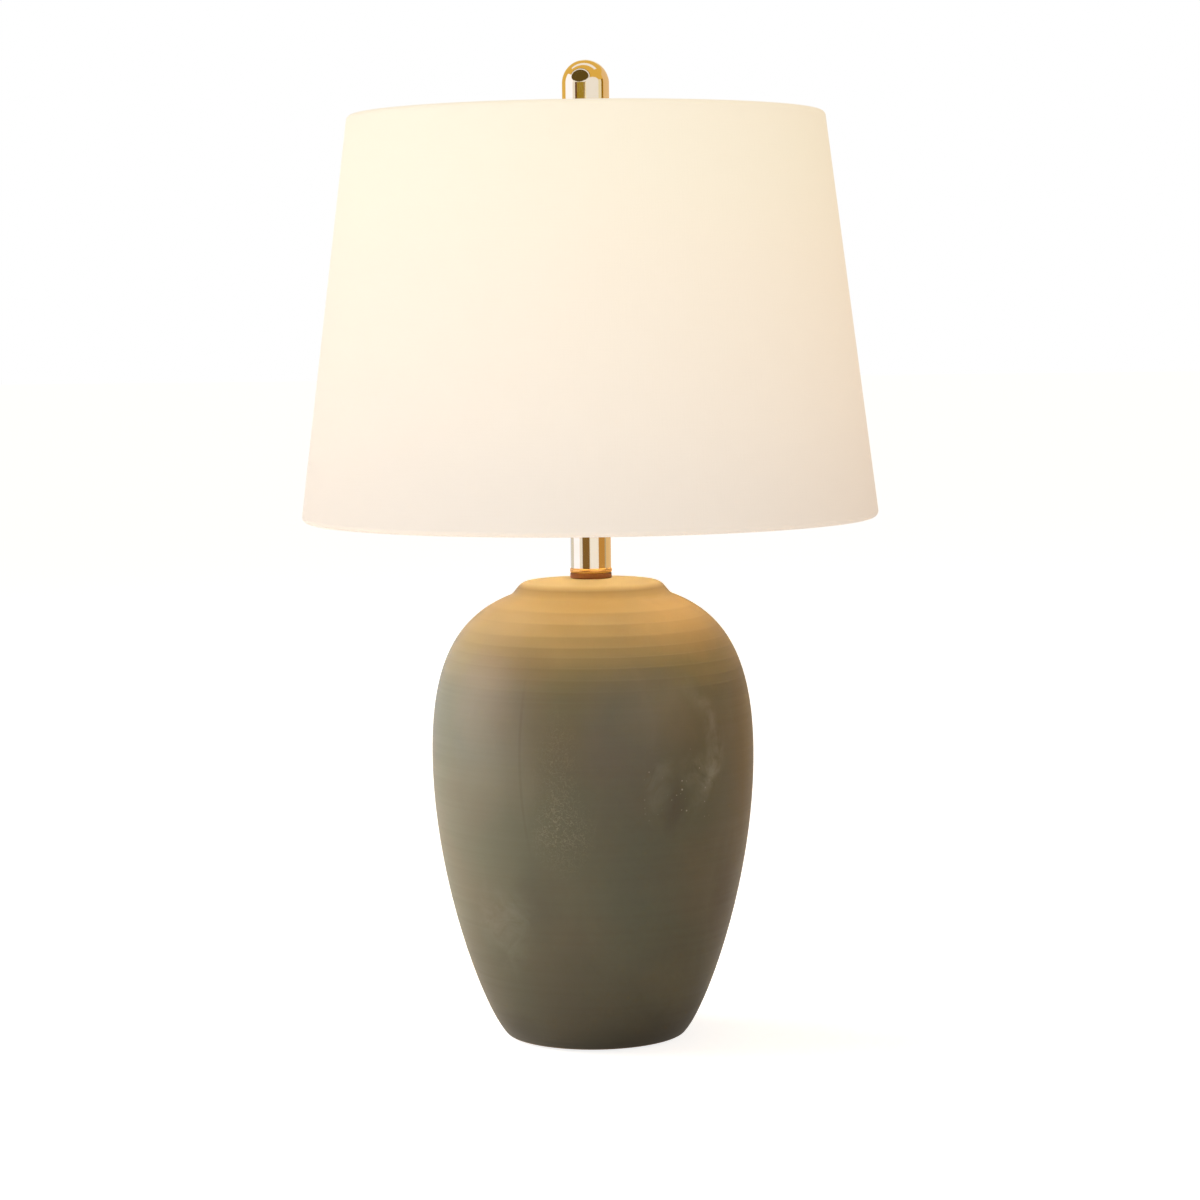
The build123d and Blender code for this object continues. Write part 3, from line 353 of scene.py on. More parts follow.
# Each patch has a middle, a reach, what it shows (1 for a plain tone), how strongly, and a colour.
# The smears fray its edge.
PATCH_EDGE, PATCH_CORE = 0.55, -0.2
for middle, reach, mark, strength, hex_colour in (
    # Painted reflection edge: a dark line where the left soft box's reflection ends.
    (Vector((-0.044, -0.088, 0.183)), Vector((0.030, 0.06, 0.056)), painted_reflection_edge, 0.20, "#3F3A2C"),
    (Vector((-0.030, -0.090, 0.170)), Vector((0.070, 0.08, 0.100)), pits, 0.50, "#3A3426"),
    (Vector((-0.018, -0.096, 0.143)), Vector((0.019, 0.05, 0.032)), hair, 0.30, "#B0A892"),
    (Vector((-0.022, -0.096, 0.178)), Vector((0.015, 0.05, 0.046)), hair, 0.16, "#B0A892"),
    # Painted light: a warmer, paler right shoulder.
    (Vector((0.056, -0.050, 0.264)), Vector((0.042, 0.06, 0.022)), 1.0, 0.24, "#BFA068"),
    (Vector((-0.062, -0.050, 0.268)), Vector((0.038, 0.06, 0.020)), 1.0, 0.30, "#8A847B"),
    (Vector((-0.048, -0.070, 0.243)), Vector((0.036, 0.06, 0.014)), 1.0, 0.26, "#5F4D34"),
    (Vector((-0.036, -0.087, 0.096)), Vector((0.020, 0.05, 0.034)), 1.0, 0.40, "#515344"),
    (Vector((0.032, -0.088, 0.104)), Vector((0.030, 0.05, 0.050)), 1.0, 0.45, "#565F52"),
    (Vector((0.054, -0.066, 0.040)), Vector((0.026, 0.05, 0.026)), 1.0, 0.34, "#77745E"),
    (Vector((0.046, -0.088, 0.211)), Vector((0.032, 0.06, 0.026)), 1.0, 0.40, "#857F6C"),
    (Vector((0.048, -0.086, 0.156)), Vector((0.012, 0.05, 0.020)), 1.0, 0.45, "#4A4536"),
    # Painted light: a warm gold rim light down the right side, darker at its lower end.
    (Vector((0.092, -0.020, 0.160)), Vector((0.016, 0.05, 0.085)), 1.0, 0.85, "#675622"),
    (Vector((0.080, -0.020, 0.095)), Vector((0.015, 0.05, 0.050)), 1.0, 0.70, "#4A3D1C"),
    # Painted light: the left of the belly made paler, as if lit from the left.
    (Vector((-0.066, -0.066, 0.214)), Vector((0.026, 0.05, 0.030)), 1.0, 0.16, "#94866A"),
    (Vector((-0.056, -0.074, 0.178)), Vector((0.036, 0.05, 0.034)), 1.0, 0.18, "#8F8C79"),
    # Painted shade: the edge of the foot darkened next to the floor.
    (Vector((-0.048, -0.030, 0.012)), Vector((0.018, 0.05, 0.014)), 1.0, 0.34, "#2A2518"),
    (Vector((-0.052, -0.070, 0.082)), Vector((0.022, 0.05, 0.030)), cloud, 0.20, "#A0A498"),
    (Vector((0.066, -0.072, 0.184)), Vector((0.030, 0.06, 0.054)), veil, 0.62, "#9A9E92"),
    (Vector((0.064, -0.076, 0.177)), Vector((0.014, 0.05, 0.014)), cloud, 0.46, "#9FA398"),
    (Vector((0.039, -0.090, 0.172)), Vector((0.011, 0.05, 0.030)), cloud, 0.36, "#949B8E"),
    (Vector((0.040, -0.090, 0.168)), Vector((0.012, 0.05, 0.026)), specks, 0.80, "#D8D6CA"),
    (Vector((0.060, -0.080, 0.166)), Vector((0.014, 0.05, 0.028)), specks, 0.80, "#D8D6CA"),
):
    stretch = Vector((1 / reach.x, 1 / reach.y, 1 / reach.z))
    patch = add_node(
        glaze, "ShaderNodeMapping", {"Vector": place, "Location": -middle * stretch, "Scale": stretch}
    )
    away = add_node(glaze, "ShaderNodeVectorMath", {0: patch.outputs[0]}, operation="LENGTH")
    frayed = add_node(
        glaze, "ShaderNodeMath",
        {0: away.outputs["Value"], 1: smears.outputs["Fac"]}, operation="SUBTRACT",
    )
    rubbed = add_node(
        glaze, "ShaderNodeMapRange",
        {
            "Value": frayed.outputs[0], "From Min": PATCH_EDGE, "From Max": PATCH_CORE, "To Min": 0.0,
            "To Max": strength,
        },
    )
    mark_share = add_node(glaze, "ShaderNodeMath", {0: rubbed.outputs[0], 1: mark}, operation="MULTIPLY")
    marked = add_node(
        glaze, "ShaderNodeMix",
        {"Factor": mark_share.outputs[0], MIX_A: marked.outputs[MIX_RESULT], MIX_B: linear(hex_colour)},
        data_type="RGBA",
    )
# Bare buff clay on the foot ring and the lowest 2 mm of the wall.
GLAZE_END, CLAY_FULL = 0.0026, 0.0016
bare_share = add_node(
    glaze, "ShaderNodeMapRange", {"Value": height, "From Min": GLAZE_END, "From Max": CLAY_FULL}
)
clay = add_node(
    glaze, "ShaderNodeMix",
    {"Factor": bare_share.outputs[0], MIX_A: marked.outputs[MIX_RESULT], MIX_B: linear("#B79C7C")},
    data_type="RGBA",
)
glaze.node_tree.links.new(clay.outputs[MIX_RESULT], shader.inputs["Base Color"])
satin = add_node(
    glaze, "ShaderNodeMapRange",
    {"Value": wipes.outputs["Fac"], "From Min": 0.3, "From Max": 0.7, "To Min": 0.53, "To Max": 0.58},
)
glaze.node_tree.links.new(satin.outputs[0], shader.inputs["Roughness"])
shader.inputs["Coat Weight"].default_value = 0.12
shader.inputs["Coat Roughness"].default_value = 0.14
# The rings and a fine orange peel of 1.5 mm roughen the gloss.
PEEL_SIZE = 0.0015
ring_bump = add_node(
    glaze, "ShaderNodeBump", {"Height": ring_relief.outputs[0], "Strength": 0.15, "Distance": 0.0006}
)
peel = add_node(glaze, "ShaderNodeTexNoise", {"Vector": place, "Scale": 1 / PEEL_SIZE, "Detail": 2.0})
peel_bump = add_node(
    glaze, "ShaderNodeBump",
    {"Height": peel.outputs["Fac"], "Strength": 0.08, "Distance": 0.0002, "Normal": ring_bump.outputs[0]},
)
glaze.node_tree.links.new(peel_bump.outputs[0], shader.inputs["Normal"])
nodes["ceramic_body"].material_slots[0].material = glaze

# Pipe, bottom washer and nut, set screw, switch shaft and bulb tip. Steel, cut and stamped, with a
# bright zinc plating that has a fine crystal bloom. The nut pulls the pipe tight under the jar's floor.
zinc, shader, place = start_material("bright_zinc_plated_steel")
shader.inputs["Metallic"].default_value = 1.0
BLOOM_SIZE = 0.0012
bloom = add_node(zinc, "ShaderNodeTexVoronoi", {"Vector": place, "Scale": 1 / BLOOM_SIZE})
bloom_colour = add_node(
    zinc, "ShaderNodeMix",
    {"Factor": bloom.outputs["Distance"], MIX_A: linear("#C9CBCC"), MIX_B: linear("#A9ABAD")},
    data_type="RGBA",
)
zinc.node_tree.links.new(bloom_colour.outputs[MIX_RESULT], shader.inputs["Base Color"])
bloom_rough = add_node(
    zinc, "ShaderNodeMapRange", {"Value": bloom.outputs["Distance"], "To Min": 0.28, "To Max": 0.42}
)
zinc.node_tree.links.new(bloom_rough.outputs[0], shader.inputs["Roughness"])
for name in ("lamp_pipe", "bottom_washer", "bottom_nut", "set_screw", "switch_shaft", "bulb_tip"):
    nodes[name].material_slots[0].material = zinc

# Cord bushing. Brown nylon, moulded in one piece with its flange and pressed into the back
# of the foot, so that a cord doesn't chafe on the clay.
nylon, shader, place = start_material("moulded_brown_nylon")
MOULD_GRAIN = 0.0008
mould_grain = add_node(
    nylon, "ShaderNodeTexNoise", {"Vector": place, "Scale": 1 / MOULD_GRAIN, "Detail": 2.0}
)
mould_colour = add_node(
    nylon, "ShaderNodeMix",
    {"Factor": mould_grain.outputs["Fac"], MIX_A: linear("#2E241B"), MIX_B: linear("#3A2E23")},
    data_type="RGBA",
)
nylon.node_tree.links.new(mould_colour.outputs[MIX_RESULT], shader.inputs["Base Color"])
shader.inputs["Roughness"].default_value = 0.48
shader.inputs["IOR"].default_value = 1.53
mould_bump = add_node(
    nylon, "ShaderNodeBump", {"Height": mould_grain.outputs["Fac"], "Strength": 0.1, "Distance": 0.0001}
)
nylon.node_tree.links.new(mould_bump.outputs[0], shader.inputs["Normal"])
nodes["cord_bushing"].material_slots[0].material = nylon

# Felt pad. Dark brown pressed wool, die-cut to a disc and glued under the foot.
# Its cut edge is soft, and loose fibres make the face cloudy.
FELT_RADIUS = 0.049
FELT_THICKNESS = 0.0012
FELT_FACETS = 160
FELT_ROUNDING = 0.0003
FELT_CORNER = math.radians(60)
FIBRE_SIZE = 0.0012
bpy.ops.object.select_all(action="DESELECT")
bpy.ops.mesh.primitive_cylinder_add(
    vertices=FELT_FACETS, radius=FELT_RADIUS, depth=FELT_THICKNESS,
    end_fill_type="TRIFAN", location=(0, 0, FELT_THICKNESS / 2),
)
felt_disc = bpy.context.object
felt_disc.name = "felt_disc"
bpy.ops.object.transform_apply(location=True, rotation=True, scale=True)
bpy.ops.object.mode_set(mode="EDIT")
bpy.ops.mesh.select_mode(type="EDGE")
bpy.ops.mesh.select_all(action="DESELECT")
bpy.ops.mesh.edges_select_sharp(sharpness=FELT_CORNER)
bpy.ops.mesh.bevel(offset=FELT_ROUNDING, segments=3, affect="EDGES")
bpy.ops.object.mode_set(mode="OBJECT")
bpy.ops.object.shade_smooth_by_angle(angle=math.radians(40))
felt, shader, place = start_material("pressed_brown_wool_felt")
fibres = add_node(
    felt, "ShaderNodeTexNoise",
    {"Vector": place, "Scale": 1 / FIBRE_SIZE, "Detail": 6.0, "Roughness": 0.7, "Distortion": 1.5},
)
fibre_colour = add_node(
    felt, "ShaderNodeMix",
    {"Factor": fibres.outputs["Fac"], MIX_A: linear("#241C16"), MIX_B: linear("#4A3D32")},
    data_type="RGBA",
)
felt.node_tree.links.new(fibre_colour.outputs[MIX_RESULT], shader.inputs["Base Color"])
shader.inputs["Roughness"].default_value = 0.95
shader.inputs["Sheen Weight"].default_value = 0.4
fibre_bump = add_node(
    felt, "ShaderNodeBump", {"Height": fibres.outputs["Fac"], "Strength": 0.5, "Distance": 0.0003}
)
felt.node_tree.links.new(fibre_bump.outputs[0], shader.inputs["Normal"])
felt_disc.data.materials.append(felt)
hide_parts("felt_pad")
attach(felt_disc, "base")

# Neck washer. Red-brown vulcanised fibre, stamped from sheet and waxed, which beds the brass
# on the uneven clay. Pressed cotton shows as a fine mottle, and the wax gives a dull shine.
washer_fibre, shader, place = start_material("waxed_brown_fibre")
COTTON_SIZE = 0.0015
cotton = add_node(
    washer_fibre, "ShaderNodeTexNoise",
    {"Vector": place, "Scale": 1 / COTTON_SIZE, "Detail": 5.0, "Roughness": 0.65},
)
cotton_colour = add_node(
    washer_fibre, "ShaderNodeMix",
    {"Factor": cotton.outputs["Fac"], MIX_A: linear("#532D0C"), MIX_B: linear("#683C14")},
    data_type="RGBA",
)
washer_fibre.node_tree.links.new(cotton_colour.outputs[MIX_RESULT], shader.inputs["Base Color"])
shader.inputs["Roughness"].default_value = 0.6
shader.inputs["Specular IOR Level"].default_value = 0.3
cotton_bump = add_node(
    washer_fibre, "ShaderNodeBump",
    {"Height": cotton.outputs["Fac"], "Strength": 0.15, "Distance": 0.0001},
)
washer_fibre.node_tree.links.new(cotton_bump.outputs[0], shader.inputs["Normal"])
nodes["neck_washer"].material_slots[0].material = washer_fibre

# Collar, neck tube, neck cap, lock nut, harp seat and finial. Turned brass, buffed to a mirror
# and lacquered. The tube stands on the collar's spigot, and the lock nut draws it down.
brass, shader, place = start_material("polished_lacquered_brass")
shader.inputs["Metallic"].default_value = 1.0
# Buffing leaves hair marks round the piece, 0.4 mm apart, and a faint cloud of warmer lacquer.
BUFF_PITCH = 0.0004
BUFF_LENGTH = 1 / 60
LACQUER_CLOUD = 0.012
round_the_piece = add_node(
    brass, "ShaderNodeMapping",
    {"Vector": place, "Scale": (1 / BUFF_LENGTH, 1 / BUFF_LENGTH, 1 / BUFF_PITCH)},
)
hair_marks = add_node(
    brass, "ShaderNodeTexNoise", {"Vector": round_the_piece.outputs[0], "Scale": 1.0, "Detail": 3.0}
)
lacquer = add_node(
    brass, "ShaderNodeTexNoise", {"Vector": place, "Scale": 1 / LACQUER_CLOUD, "Detail": 2.0}
)
brass_colour = add_node(
    brass, "ShaderNodeMix",
    {"Factor": lacquer.outputs["Fac"], MIX_A: linear("#F4DFB0"), MIX_B: linear("#EFD59E")},
    data_type="RGBA",
)
brass.node_tree.links.new(brass_colour.outputs[MIX_RESULT], shader.inputs["Base Color"])
buffed = add_node(
    brass, "ShaderNodeMapRange",
    {
        "Value": hair_marks.outputs["Fac"], "From Min": 0.3, "From Max": 0.75, "To Min": 0.05,
        "To Max": 0.11,
    },
)
brass.node_tree.links.new(buffed.outputs[0], shader.inputs["Roughness"])
for name in ("neck_tube", "neck_cap", "lock_nut", "harp_seat", "finial"):
    nodes[name].material_slots[0].material = brass
# The collar keeps a thicker coat of the same lacquer, which is yellower and less sharp. Its deeper
# orange is also a painted reflection of the lit shade and gold crown around it.
collar_lacquer_and_painted_reflection = brass.copy()
collar_lacquer_and_painted_reflection.name = "lacquered_brass_with_painted_reflection"
collar_colour_and_painted_reflection = collar_lacquer_and_painted_reflection.node_tree.nodes[brass_colour.name]
collar_colour_and_painted_reflection.inputs[MIX_A].default_value = linear("#E4B76E")
collar_colour_and_painted_reflection.inputs[MIX_B].default_value = linear("#D5A356")
thick_buffed = collar_lacquer_and_painted_reflection.node_tree.nodes[buffed.name]
thick_buffed.inputs["To Min"].default_value = 0.20
thick_buffed.inputs["To Max"].default_value = 0.30
nodes["neck_collar"].material_slots[0].material = collar_lacquer_and_painted_reflection

# Saddle, harp, sleeves, socket cap and shell, contacts and spider. Steel wire and drawn sheet
# with a satin brass plating, duller than the turned pieces and a little uneven.
plate, shader, place = start_material("satin_brass_plating")
shader.inputs["Metallic"].default_value = 1.0
PLATING_CLOUD = 0.006
plating = add_node(
    plate, "ShaderNodeTexNoise",
    {"Vector": place, "Scale": 1 / PLATING_CLOUD, "Detail": 4.0, "Roughness": 0.6},
)
plating_colour = add_node(
    plate, "ShaderNodeMix",
    {"Factor": plating.outputs["Fac"], MIX_A: linear("#C79A4E"), MIX_B: linear("#DDB66B")},
    data_type="RGBA",
)
plate.node_tree.links.new(plating_colour.outputs[MIX_RESULT], shader.inputs["Base Color"])
plating_rough = add_node(
    plate, "ShaderNodeMapRange",
    {"Value": plating.outputs["Fac"], "From Min": 0.3, "From Max": 0.7, "To Min": 0.24, "To Max": 0.38},
)
plate.node_tree.links.new(plating_rough.outputs[0], shader.inputs["Roughness"])
for name in (
    "harp_saddle", "harp_wire", "left_harp_sleeve", "right_harp_sleeve", "socket_cap", "socket_shell",
    "terminal_screws", "center_contact", "spider_hub", "spider_arms",
):
    nodes[name].material_slots[0].material = plate

# Socket liner. A sleeve of vulcanised fibre, rolled from grey-brown card, that keeps
# the live screw shell off the brass shell.
fibre, shader, place = start_material("vulcanised_fibre_card")
CARD_GRAIN = 0.002
card_grain = add_node(
    fibre, "ShaderNodeTexNoise",
    {"Vector": place, "Scale": 1 / CARD_GRAIN, "Detail": 5.0, "Roughness": 0.7},
)
card_colour = add_node(
    fibre, "ShaderNodeMix",
    {"Factor": card_grain.outputs["Fac"], MIX_A: linear("#7A6347"), MIX_B: linear("#957B5B")},
    data_type="RGBA",
)
fibre.node_tree.links.new(card_colour.outputs[MIX_RESULT], shader.inputs["Base Color"])
shader.inputs["Roughness"].default_value = 0.8
nodes["socket_liner"].material_slots[0].material = fibre

# Socket body, bulb insulator and switch knob. Black phenolic, moulded under heat,
# with a faint flow mottle and a gloss from the tool.
phenolic, shader, place = start_material("moulded_black_phenolic")
MOTTLE_SIZE = 0.003
mottle = add_node(
    phenolic, "ShaderNodeTexNoise",
    {"Vector": place, "Scale": 1 / MOTTLE_SIZE, "Detail": 4.0, "Distortion": 0.8},
)
mottle_colour = add_node(
    phenolic, "ShaderNodeMix",
    {"Factor": mottle.outputs["Fac"], MIX_A: linear("#15120F"), MIX_B: linear("#2B241E")},
    data_type="RGBA",
)
phenolic.node_tree.links.new(mottle_colour.outputs[MIX_RESULT], shader.inputs["Base Color"])
mottle_rough = add_node(
    phenolic, "ShaderNodeMapRange", {"Value": mottle.outputs["Fac"], "To Min": 0.22, "To Max": 0.34}
)
phenolic.node_tree.links.new(mottle_rough.outputs[0], shader.inputs["Roughness"])
shader.inputs["IOR"].default_value = 1.6
for name in ("socket_body", "bulb_insulator", "switch_knob"):
    nodes[name].material_slots[0].material = phenolic

# Screw shells of the socket and the bulb. Thin aluminium, drawn to a cup, with
# draw lines down the wall.
drawn, shader, place = start_material("drawn_aluminium_sheet")
shader.inputs["Metallic"].default_value = 1.0
DRAW_WIDTH = 1 / 1500
DRAW_LENGTH = 0.025
down_the_wall = add_node(
    drawn, "ShaderNodeMapping",
    {"Vector": place, "Scale": (1 / DRAW_WIDTH, 1 / DRAW_WIDTH, 1 / DRAW_LENGTH)},
)
draw_lines = add_node(
    drawn, "ShaderNodeTexNoise", {"Vector": down_the_wall.outputs[0], "Scale": 1.0, "Detail": 2.0}
)
drawn_colour = add_node(
    drawn, "ShaderNodeMix",
    {"Factor": draw_lines.outputs["Fac"], MIX_A: linear("#BFC0C2"), MIX_B: linear("#DADBDC")},
    data_type="RGBA",
)
drawn.node_tree.links.new(drawn_colour.outputs[MIX_RESULT], shader.inputs["Base Color"])
drawn_rough = add_node(
    drawn, "ShaderNodeMapRange", {"Value": draw_lines.outputs["Fac"], "To Min": 0.25, "To Max": 0.4}
)
drawn.node_tree.links.new(drawn_rough.outputs[0], shader.inputs["Roughness"])
for name in ("screw_shell", "bulb_screw_cap"):
    nodes[name].material_slots[0].material = drawn

# Bulb housing. White polycarbonate, moulded round the driver and pressed into the screw cap.
# It has a soft gloss and picks up the dome's light.
polycarbonate, shader, place = start_material("moulded_white_polycarbonate")
TINT_SIZE = 0.015
tint = add_node(
    polycarbonate, "ShaderNodeTexNoise", {"Vector": place, "Scale": 1 / TINT_SIZE, "Detail": 2.0}
)
tint_colour = add_node(
    polycarbonate, "ShaderNodeMix",
    {"Factor": tint.outputs["Fac"], MIX_A: linear("#E9E7E1"), MIX_B: linear("#F1F0EB")}, data_type="RGBA",
)
polycarbonate.node_tree.links.new(tint_colour.outputs[MIX_RESULT], shader.inputs["Base Color"])
shader.inputs["Roughness"].default_value = 0.32
shader.inputs["IOR"].default_value = 1.58
nodes["bulb_housing"].material_slots[0].material = polycarbonate

# Bulb dome. Frosted white plastic, blown thin and lit from inside by warm diodes,
# so it glows most at its crown and less at its edge.
frosted, shader, place = start_material("frosted_lit_diffuser")
height = add_node(frosted, "ShaderNodeSeparateXYZ", {"Vector": place}).outputs["Z"]
shader.inputs["Base Color"].default_value = linear("#F4EFE4")
shader.inputs["Roughness"].default_value = 0.55
shader.inputs["Emission Color"].default_value = linear("#FFD596")
DOME_EDGE_GLOW, DOME_CROWN_GLOW = 162.0, 186.0
dome_low, dome_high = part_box("bulb_dome")
glow = add_node(
    frosted, "ShaderNodeMapRange",
    {
        "Value": height, "From Min": dome_low.z, "From Max": dome_high.z, "To Min": DOME_EDGE_GLOW,
        "To Max": DOME_CROWN_GLOW,
    },
)
frosted.node_tree.links.new(glow.outputs[0], shader.inputs["Emission Strength"])
nodes["bulb_dome"].material_slots[0].material = frosted

# Shade rings. Steel wire, welded to a hoop and dipped in white epoxy, which dries in faint ripples.
# The cloth is turned over both, and the spider's rods are welded to the upper one.
epoxy, shader, place = start_material("white_epoxy_coated_wire")
DIP_RIPPLE = 0.004
dip = add_node(epoxy, "ShaderNodeTexNoise", {"Vector": place, "Scale": 1 / DIP_RIPPLE, "Detail": 3.0})
dip_colour = add_node(
    epoxy, "ShaderNodeMix",
    {"Factor": dip.outputs["Fac"], MIX_A: linear("#E4E1D9"), MIX_B: linear("#EFEDE6")}, data_type="RGBA",
)
epoxy.node_tree.links.new(dip_colour.outputs[MIX_RESULT], shader.inputs["Base Color"])
shader.inputs["Roughness"].default_value = 0.4
for name in ("top_ring", "bottom_ring"):
    nodes[name].material_slots[0].material = epoxy

# Shade cloth. Fine cream linen, bonded to a styrene sheet, rolled to a cone and turned over
# a wire ring at each end. A painted glow stands for the bulb's light through it, warmest at the bulb's
# height.
SHADE_TOP_RADIUS = 0.1466
SHADE_BOTTOM_RADIUS = 0.1778
HEM_RADIUS = 0.0033
HEM_WRAP = math.radians(130)
CLOTH_THICKNESS = 0.0007
CLOTH_FACETS = 300
HEM_STEPS = 12
WALL_STEPS = 24
shade_low, shade_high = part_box("shade_fabric")
bottom_wire = Vector((SHADE_BOTTOM_RADIUS - HEM_RADIUS, 0, shade_low.z + HEM_RADIUS))
top_wire = Vector((SHADE_TOP_RADIUS - HEM_RADIUS, 0, shade_high.z - HEM_RADIUS))
up_the_wall = (top_wire - bottom_wire).normalized()
out_of_the_wall = Vector((up_the_wall.z, 0, -up_the_wall.x))
cloth_line = []
for step in range(HEM_STEPS + 1):
    turn = HEM_WRAP * (1 - step / HEM_STEPS)
    round_the_wire = out_of_the_wall * math.cos(turn) - up_the_wall * math.sin(turn)
    cloth_line.append(bottom_wire + HEM_RADIUS * round_the_wire)
for step in range(1, WALL_STEPS):
    cloth_line.append(bottom_wire.lerp(top_wire, step / WALL_STEPS) + HEM_RADIUS * out_of_the_wall)
for step in range(HEM_STEPS + 1):
    turn = HEM_WRAP * step / HEM_STEPS
    round_the_wire = out_of_the_wall * math.cos(turn) + up_the_wall * math.sin(turn)
    cloth_line.append(top_wire + HEM_RADIUS * round_the_wire)
bpy.ops.object.select_all(action="DESELECT")
bpy.ops.mesh.primitive_circle_add(
    vertices=CLOTH_FACETS, radius=cloth_line[0].x, location=(0, 0, cloth_line[0].z)
)
shade_cloth = bpy.context.object
shade_cloth.name = "shade_cloth"
bpy.ops.object.transform_apply(location=True, rotation=True, scale=True)
bpy.ops.object.mode_set(mode="EDIT")
bpy.ops.mesh.select_all(action="SELECT")
for before, after in zip(cloth_line, cloth_line[1:]):
    bpy.ops.mesh.extrude_region_move(TRANSFORM_OT_translate={"value": (0, 0, after.z - before.z)})
    spread = after.x / before.x
    bpy.ops.transform.resize(value=(spread, spread, 1), center_override=(0, 0, after.z))
bpy.ops.mesh.select_all(action="SELECT")
bpy.ops.mesh.normals_make_consistent(inside=False)
# The lap where the two ends of the cloth meet is four facets or 12 to 15 mm wide and runs up the back.
SEAM_FACETS = 4
SEAM_HALF_ANGLE = SEAM_FACETS / 2 * math.tau / CLOTH_FACETS
SEAM_THICKNESS = 0.0006
SEAM_OUTWARD = 0.6  # the cloth's own wall grows inwards, at -1
bpy.ops.mesh.select_mode(type="FACE")
bpy.ops.mesh.select_all(action="DESELECT")
bpy.ops.object.mode_set(mode="OBJECT")
for face in shade_cloth.data.polygons:
    face.select = abs(math.atan2(face.center.x, face.center.y)) < SEAM_HALF_ANGLE
bpy.ops.object.mode_set(mode="EDIT")
bpy.ops.mesh.duplicate()
bpy.ops.mesh.separate(type="SELECTED")
bpy.ops.object.mode_set(mode="OBJECT")
shade_seam = next(piece for piece in bpy.context.selected_objects if piece is not shade_cloth)
shade_seam.name = "shade_seam"
for piece, thickness, offset in (
    (shade_cloth, CLOTH_THICKNESS, -1.0),
    (shade_seam, SEAM_THICKNESS, SEAM_OUTWARD),
):
    bpy.ops.object.select_all(action="DESELECT")
    bpy.context.view_layer.objects.active = piece
    piece.select_set(True)
    wall = piece.modifiers.new("thickness", "SOLIDIFY")
    wall.thickness = thickness
    wall.offset = offset
    bpy.ops.object.modifier_apply(modifier=wall.name)
    bpy.ops.object.shade_smooth_by_angle(angle=math.radians(50))
linen, shader, place = start_material("lit_bonded_cream_linen")
spot = add_node(linen, "ShaderNodeSeparateXYZ", {"Vector": place})
# Threads are followed round the cone from the front, so that the pattern's join lies in the lap.
toward_front = add_node(linen, "ShaderNodeMath", {0: spot.outputs["Y"], 1: -1.0}, operation="MULTIPLY")
angle = add_node(
    linen, "ShaderNodeMath", {0: spot.outputs["X"], 1: toward_front.outputs[0]}, operation="ARCTAN2"
)
MEAN_RADIUS = (SHADE_TOP_RADIUS + SHADE_BOTTOM_RADIUS) / 2
around = add_node(linen, "ShaderNodeMath", {0: angle.outputs[0], 1: MEAN_RADIUS}, operation="MULTIPLY")
thread_place = add_node(linen, "ShaderNodeCombineXYZ", {"X": around.outputs[0], "Y": spot.outputs["Z"]})
# Slubs 0.7 mm thick and 20 mm long both ways. The 0.3 mm threads themselves are too fine to show.
SLUB_THICKNESS, SLUB_LENGTH = 0.0007, 0.020
warp_place = add_node(
    linen, "ShaderNodeMapping",
    {"Vector": thread_place.outputs[0], "Scale": (1 / SLUB_THICKNESS, 1 / SLUB_LENGTH, 1.0)},
)
warp = add_node(
    linen, "ShaderNodeTexNoise", {"Vector": warp_place.outputs[0], "Scale": 1.0, "Detail": 2.0}
)
weft_place = add_node(
    linen, "ShaderNodeMapping",
    {"Vector": thread_place.outputs[0], "Scale": (1 / SLUB_LENGTH, 1 / SLUB_THICKNESS, 1.0)},
)
weft = add_node(
    linen, "ShaderNodeTexNoise", {"Vector": weft_place.outputs[0], "Scale": 1.0, "Detail": 2.0}
)
slubs = add_node(
    linen, "ShaderNodeMath", {0: warp.outputs["Fac"], 1: weft.outputs["Fac"]}, operation="ADD"
)
slub_share = add_node(
    linen, "ShaderNodeMapRange", {"Value": slubs.outputs[0], "From Min": 0.7, "From Max": 1.3}
)
linen_colour = add_node(
    linen, "ShaderNodeMix",
    {"Factor": slub_share.outputs[0], MIX_A: linear("#E7DDCD"), MIX_B: linear("#EFE7DA")},
    data_type="RGBA",
)
linen.node_tree.links.new(linen_colour.outputs[MIX_RESULT], shader.inputs["Base Color"])
shader.inputs["Roughness"].default_value = 0.85
shader.inputs["Sheen Weight"].default_value = 0.15
slub_bump = add_node(
    linen, "ShaderNodeBump", {"Height": slubs.outputs[0], "Strength": 0.12, "Distance": 0.0003}
)
linen.node_tree.links.new(slub_bump.outputs[0], shader.inputs["Normal"])
# The painted glow through the cloth, an emission set by height: strongest a little above the bulb,
# weakest at the bottom hem.
rise = add_node(
    linen, "ShaderNodeMapRange",
    {"Value": spot.outputs["Z"], "From Min": shade_low.z, "From Max": shade_high.z},
)
glow = add_node(linen, "ShaderNodeValToRGB", {"Fac": rise.outputs[0]})
glow.color_ramp.interpolation = "B_SPLINE"
stops = ((0.0, "#AEA59E"), (0.25, "#C0B5A9"), (0.62, "#CABEAC"), (0.85, "#CAC2AD"), (1.0, "#CAC1AC"))
for position, hex_colour in stops[1:-1]:
    glow.color_ramp.elements.new(position)
for stop, (position, hex_colour) in zip(glow.color_ramp.elements, stops):
    stop.position = position
    stop.color = linear(hex_colour)
linen.node_tree.links.new(glow.outputs[0], shader.inputs["Emission Color"])
shader.inputs["Emission Strength"].default_value = 1.0
for piece in (shade_cloth, shade_seam):
    piece.data.materials.clear()
    piece.data.materials.append(linen)
    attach(piece, "shade")
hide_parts("shade_fabric")

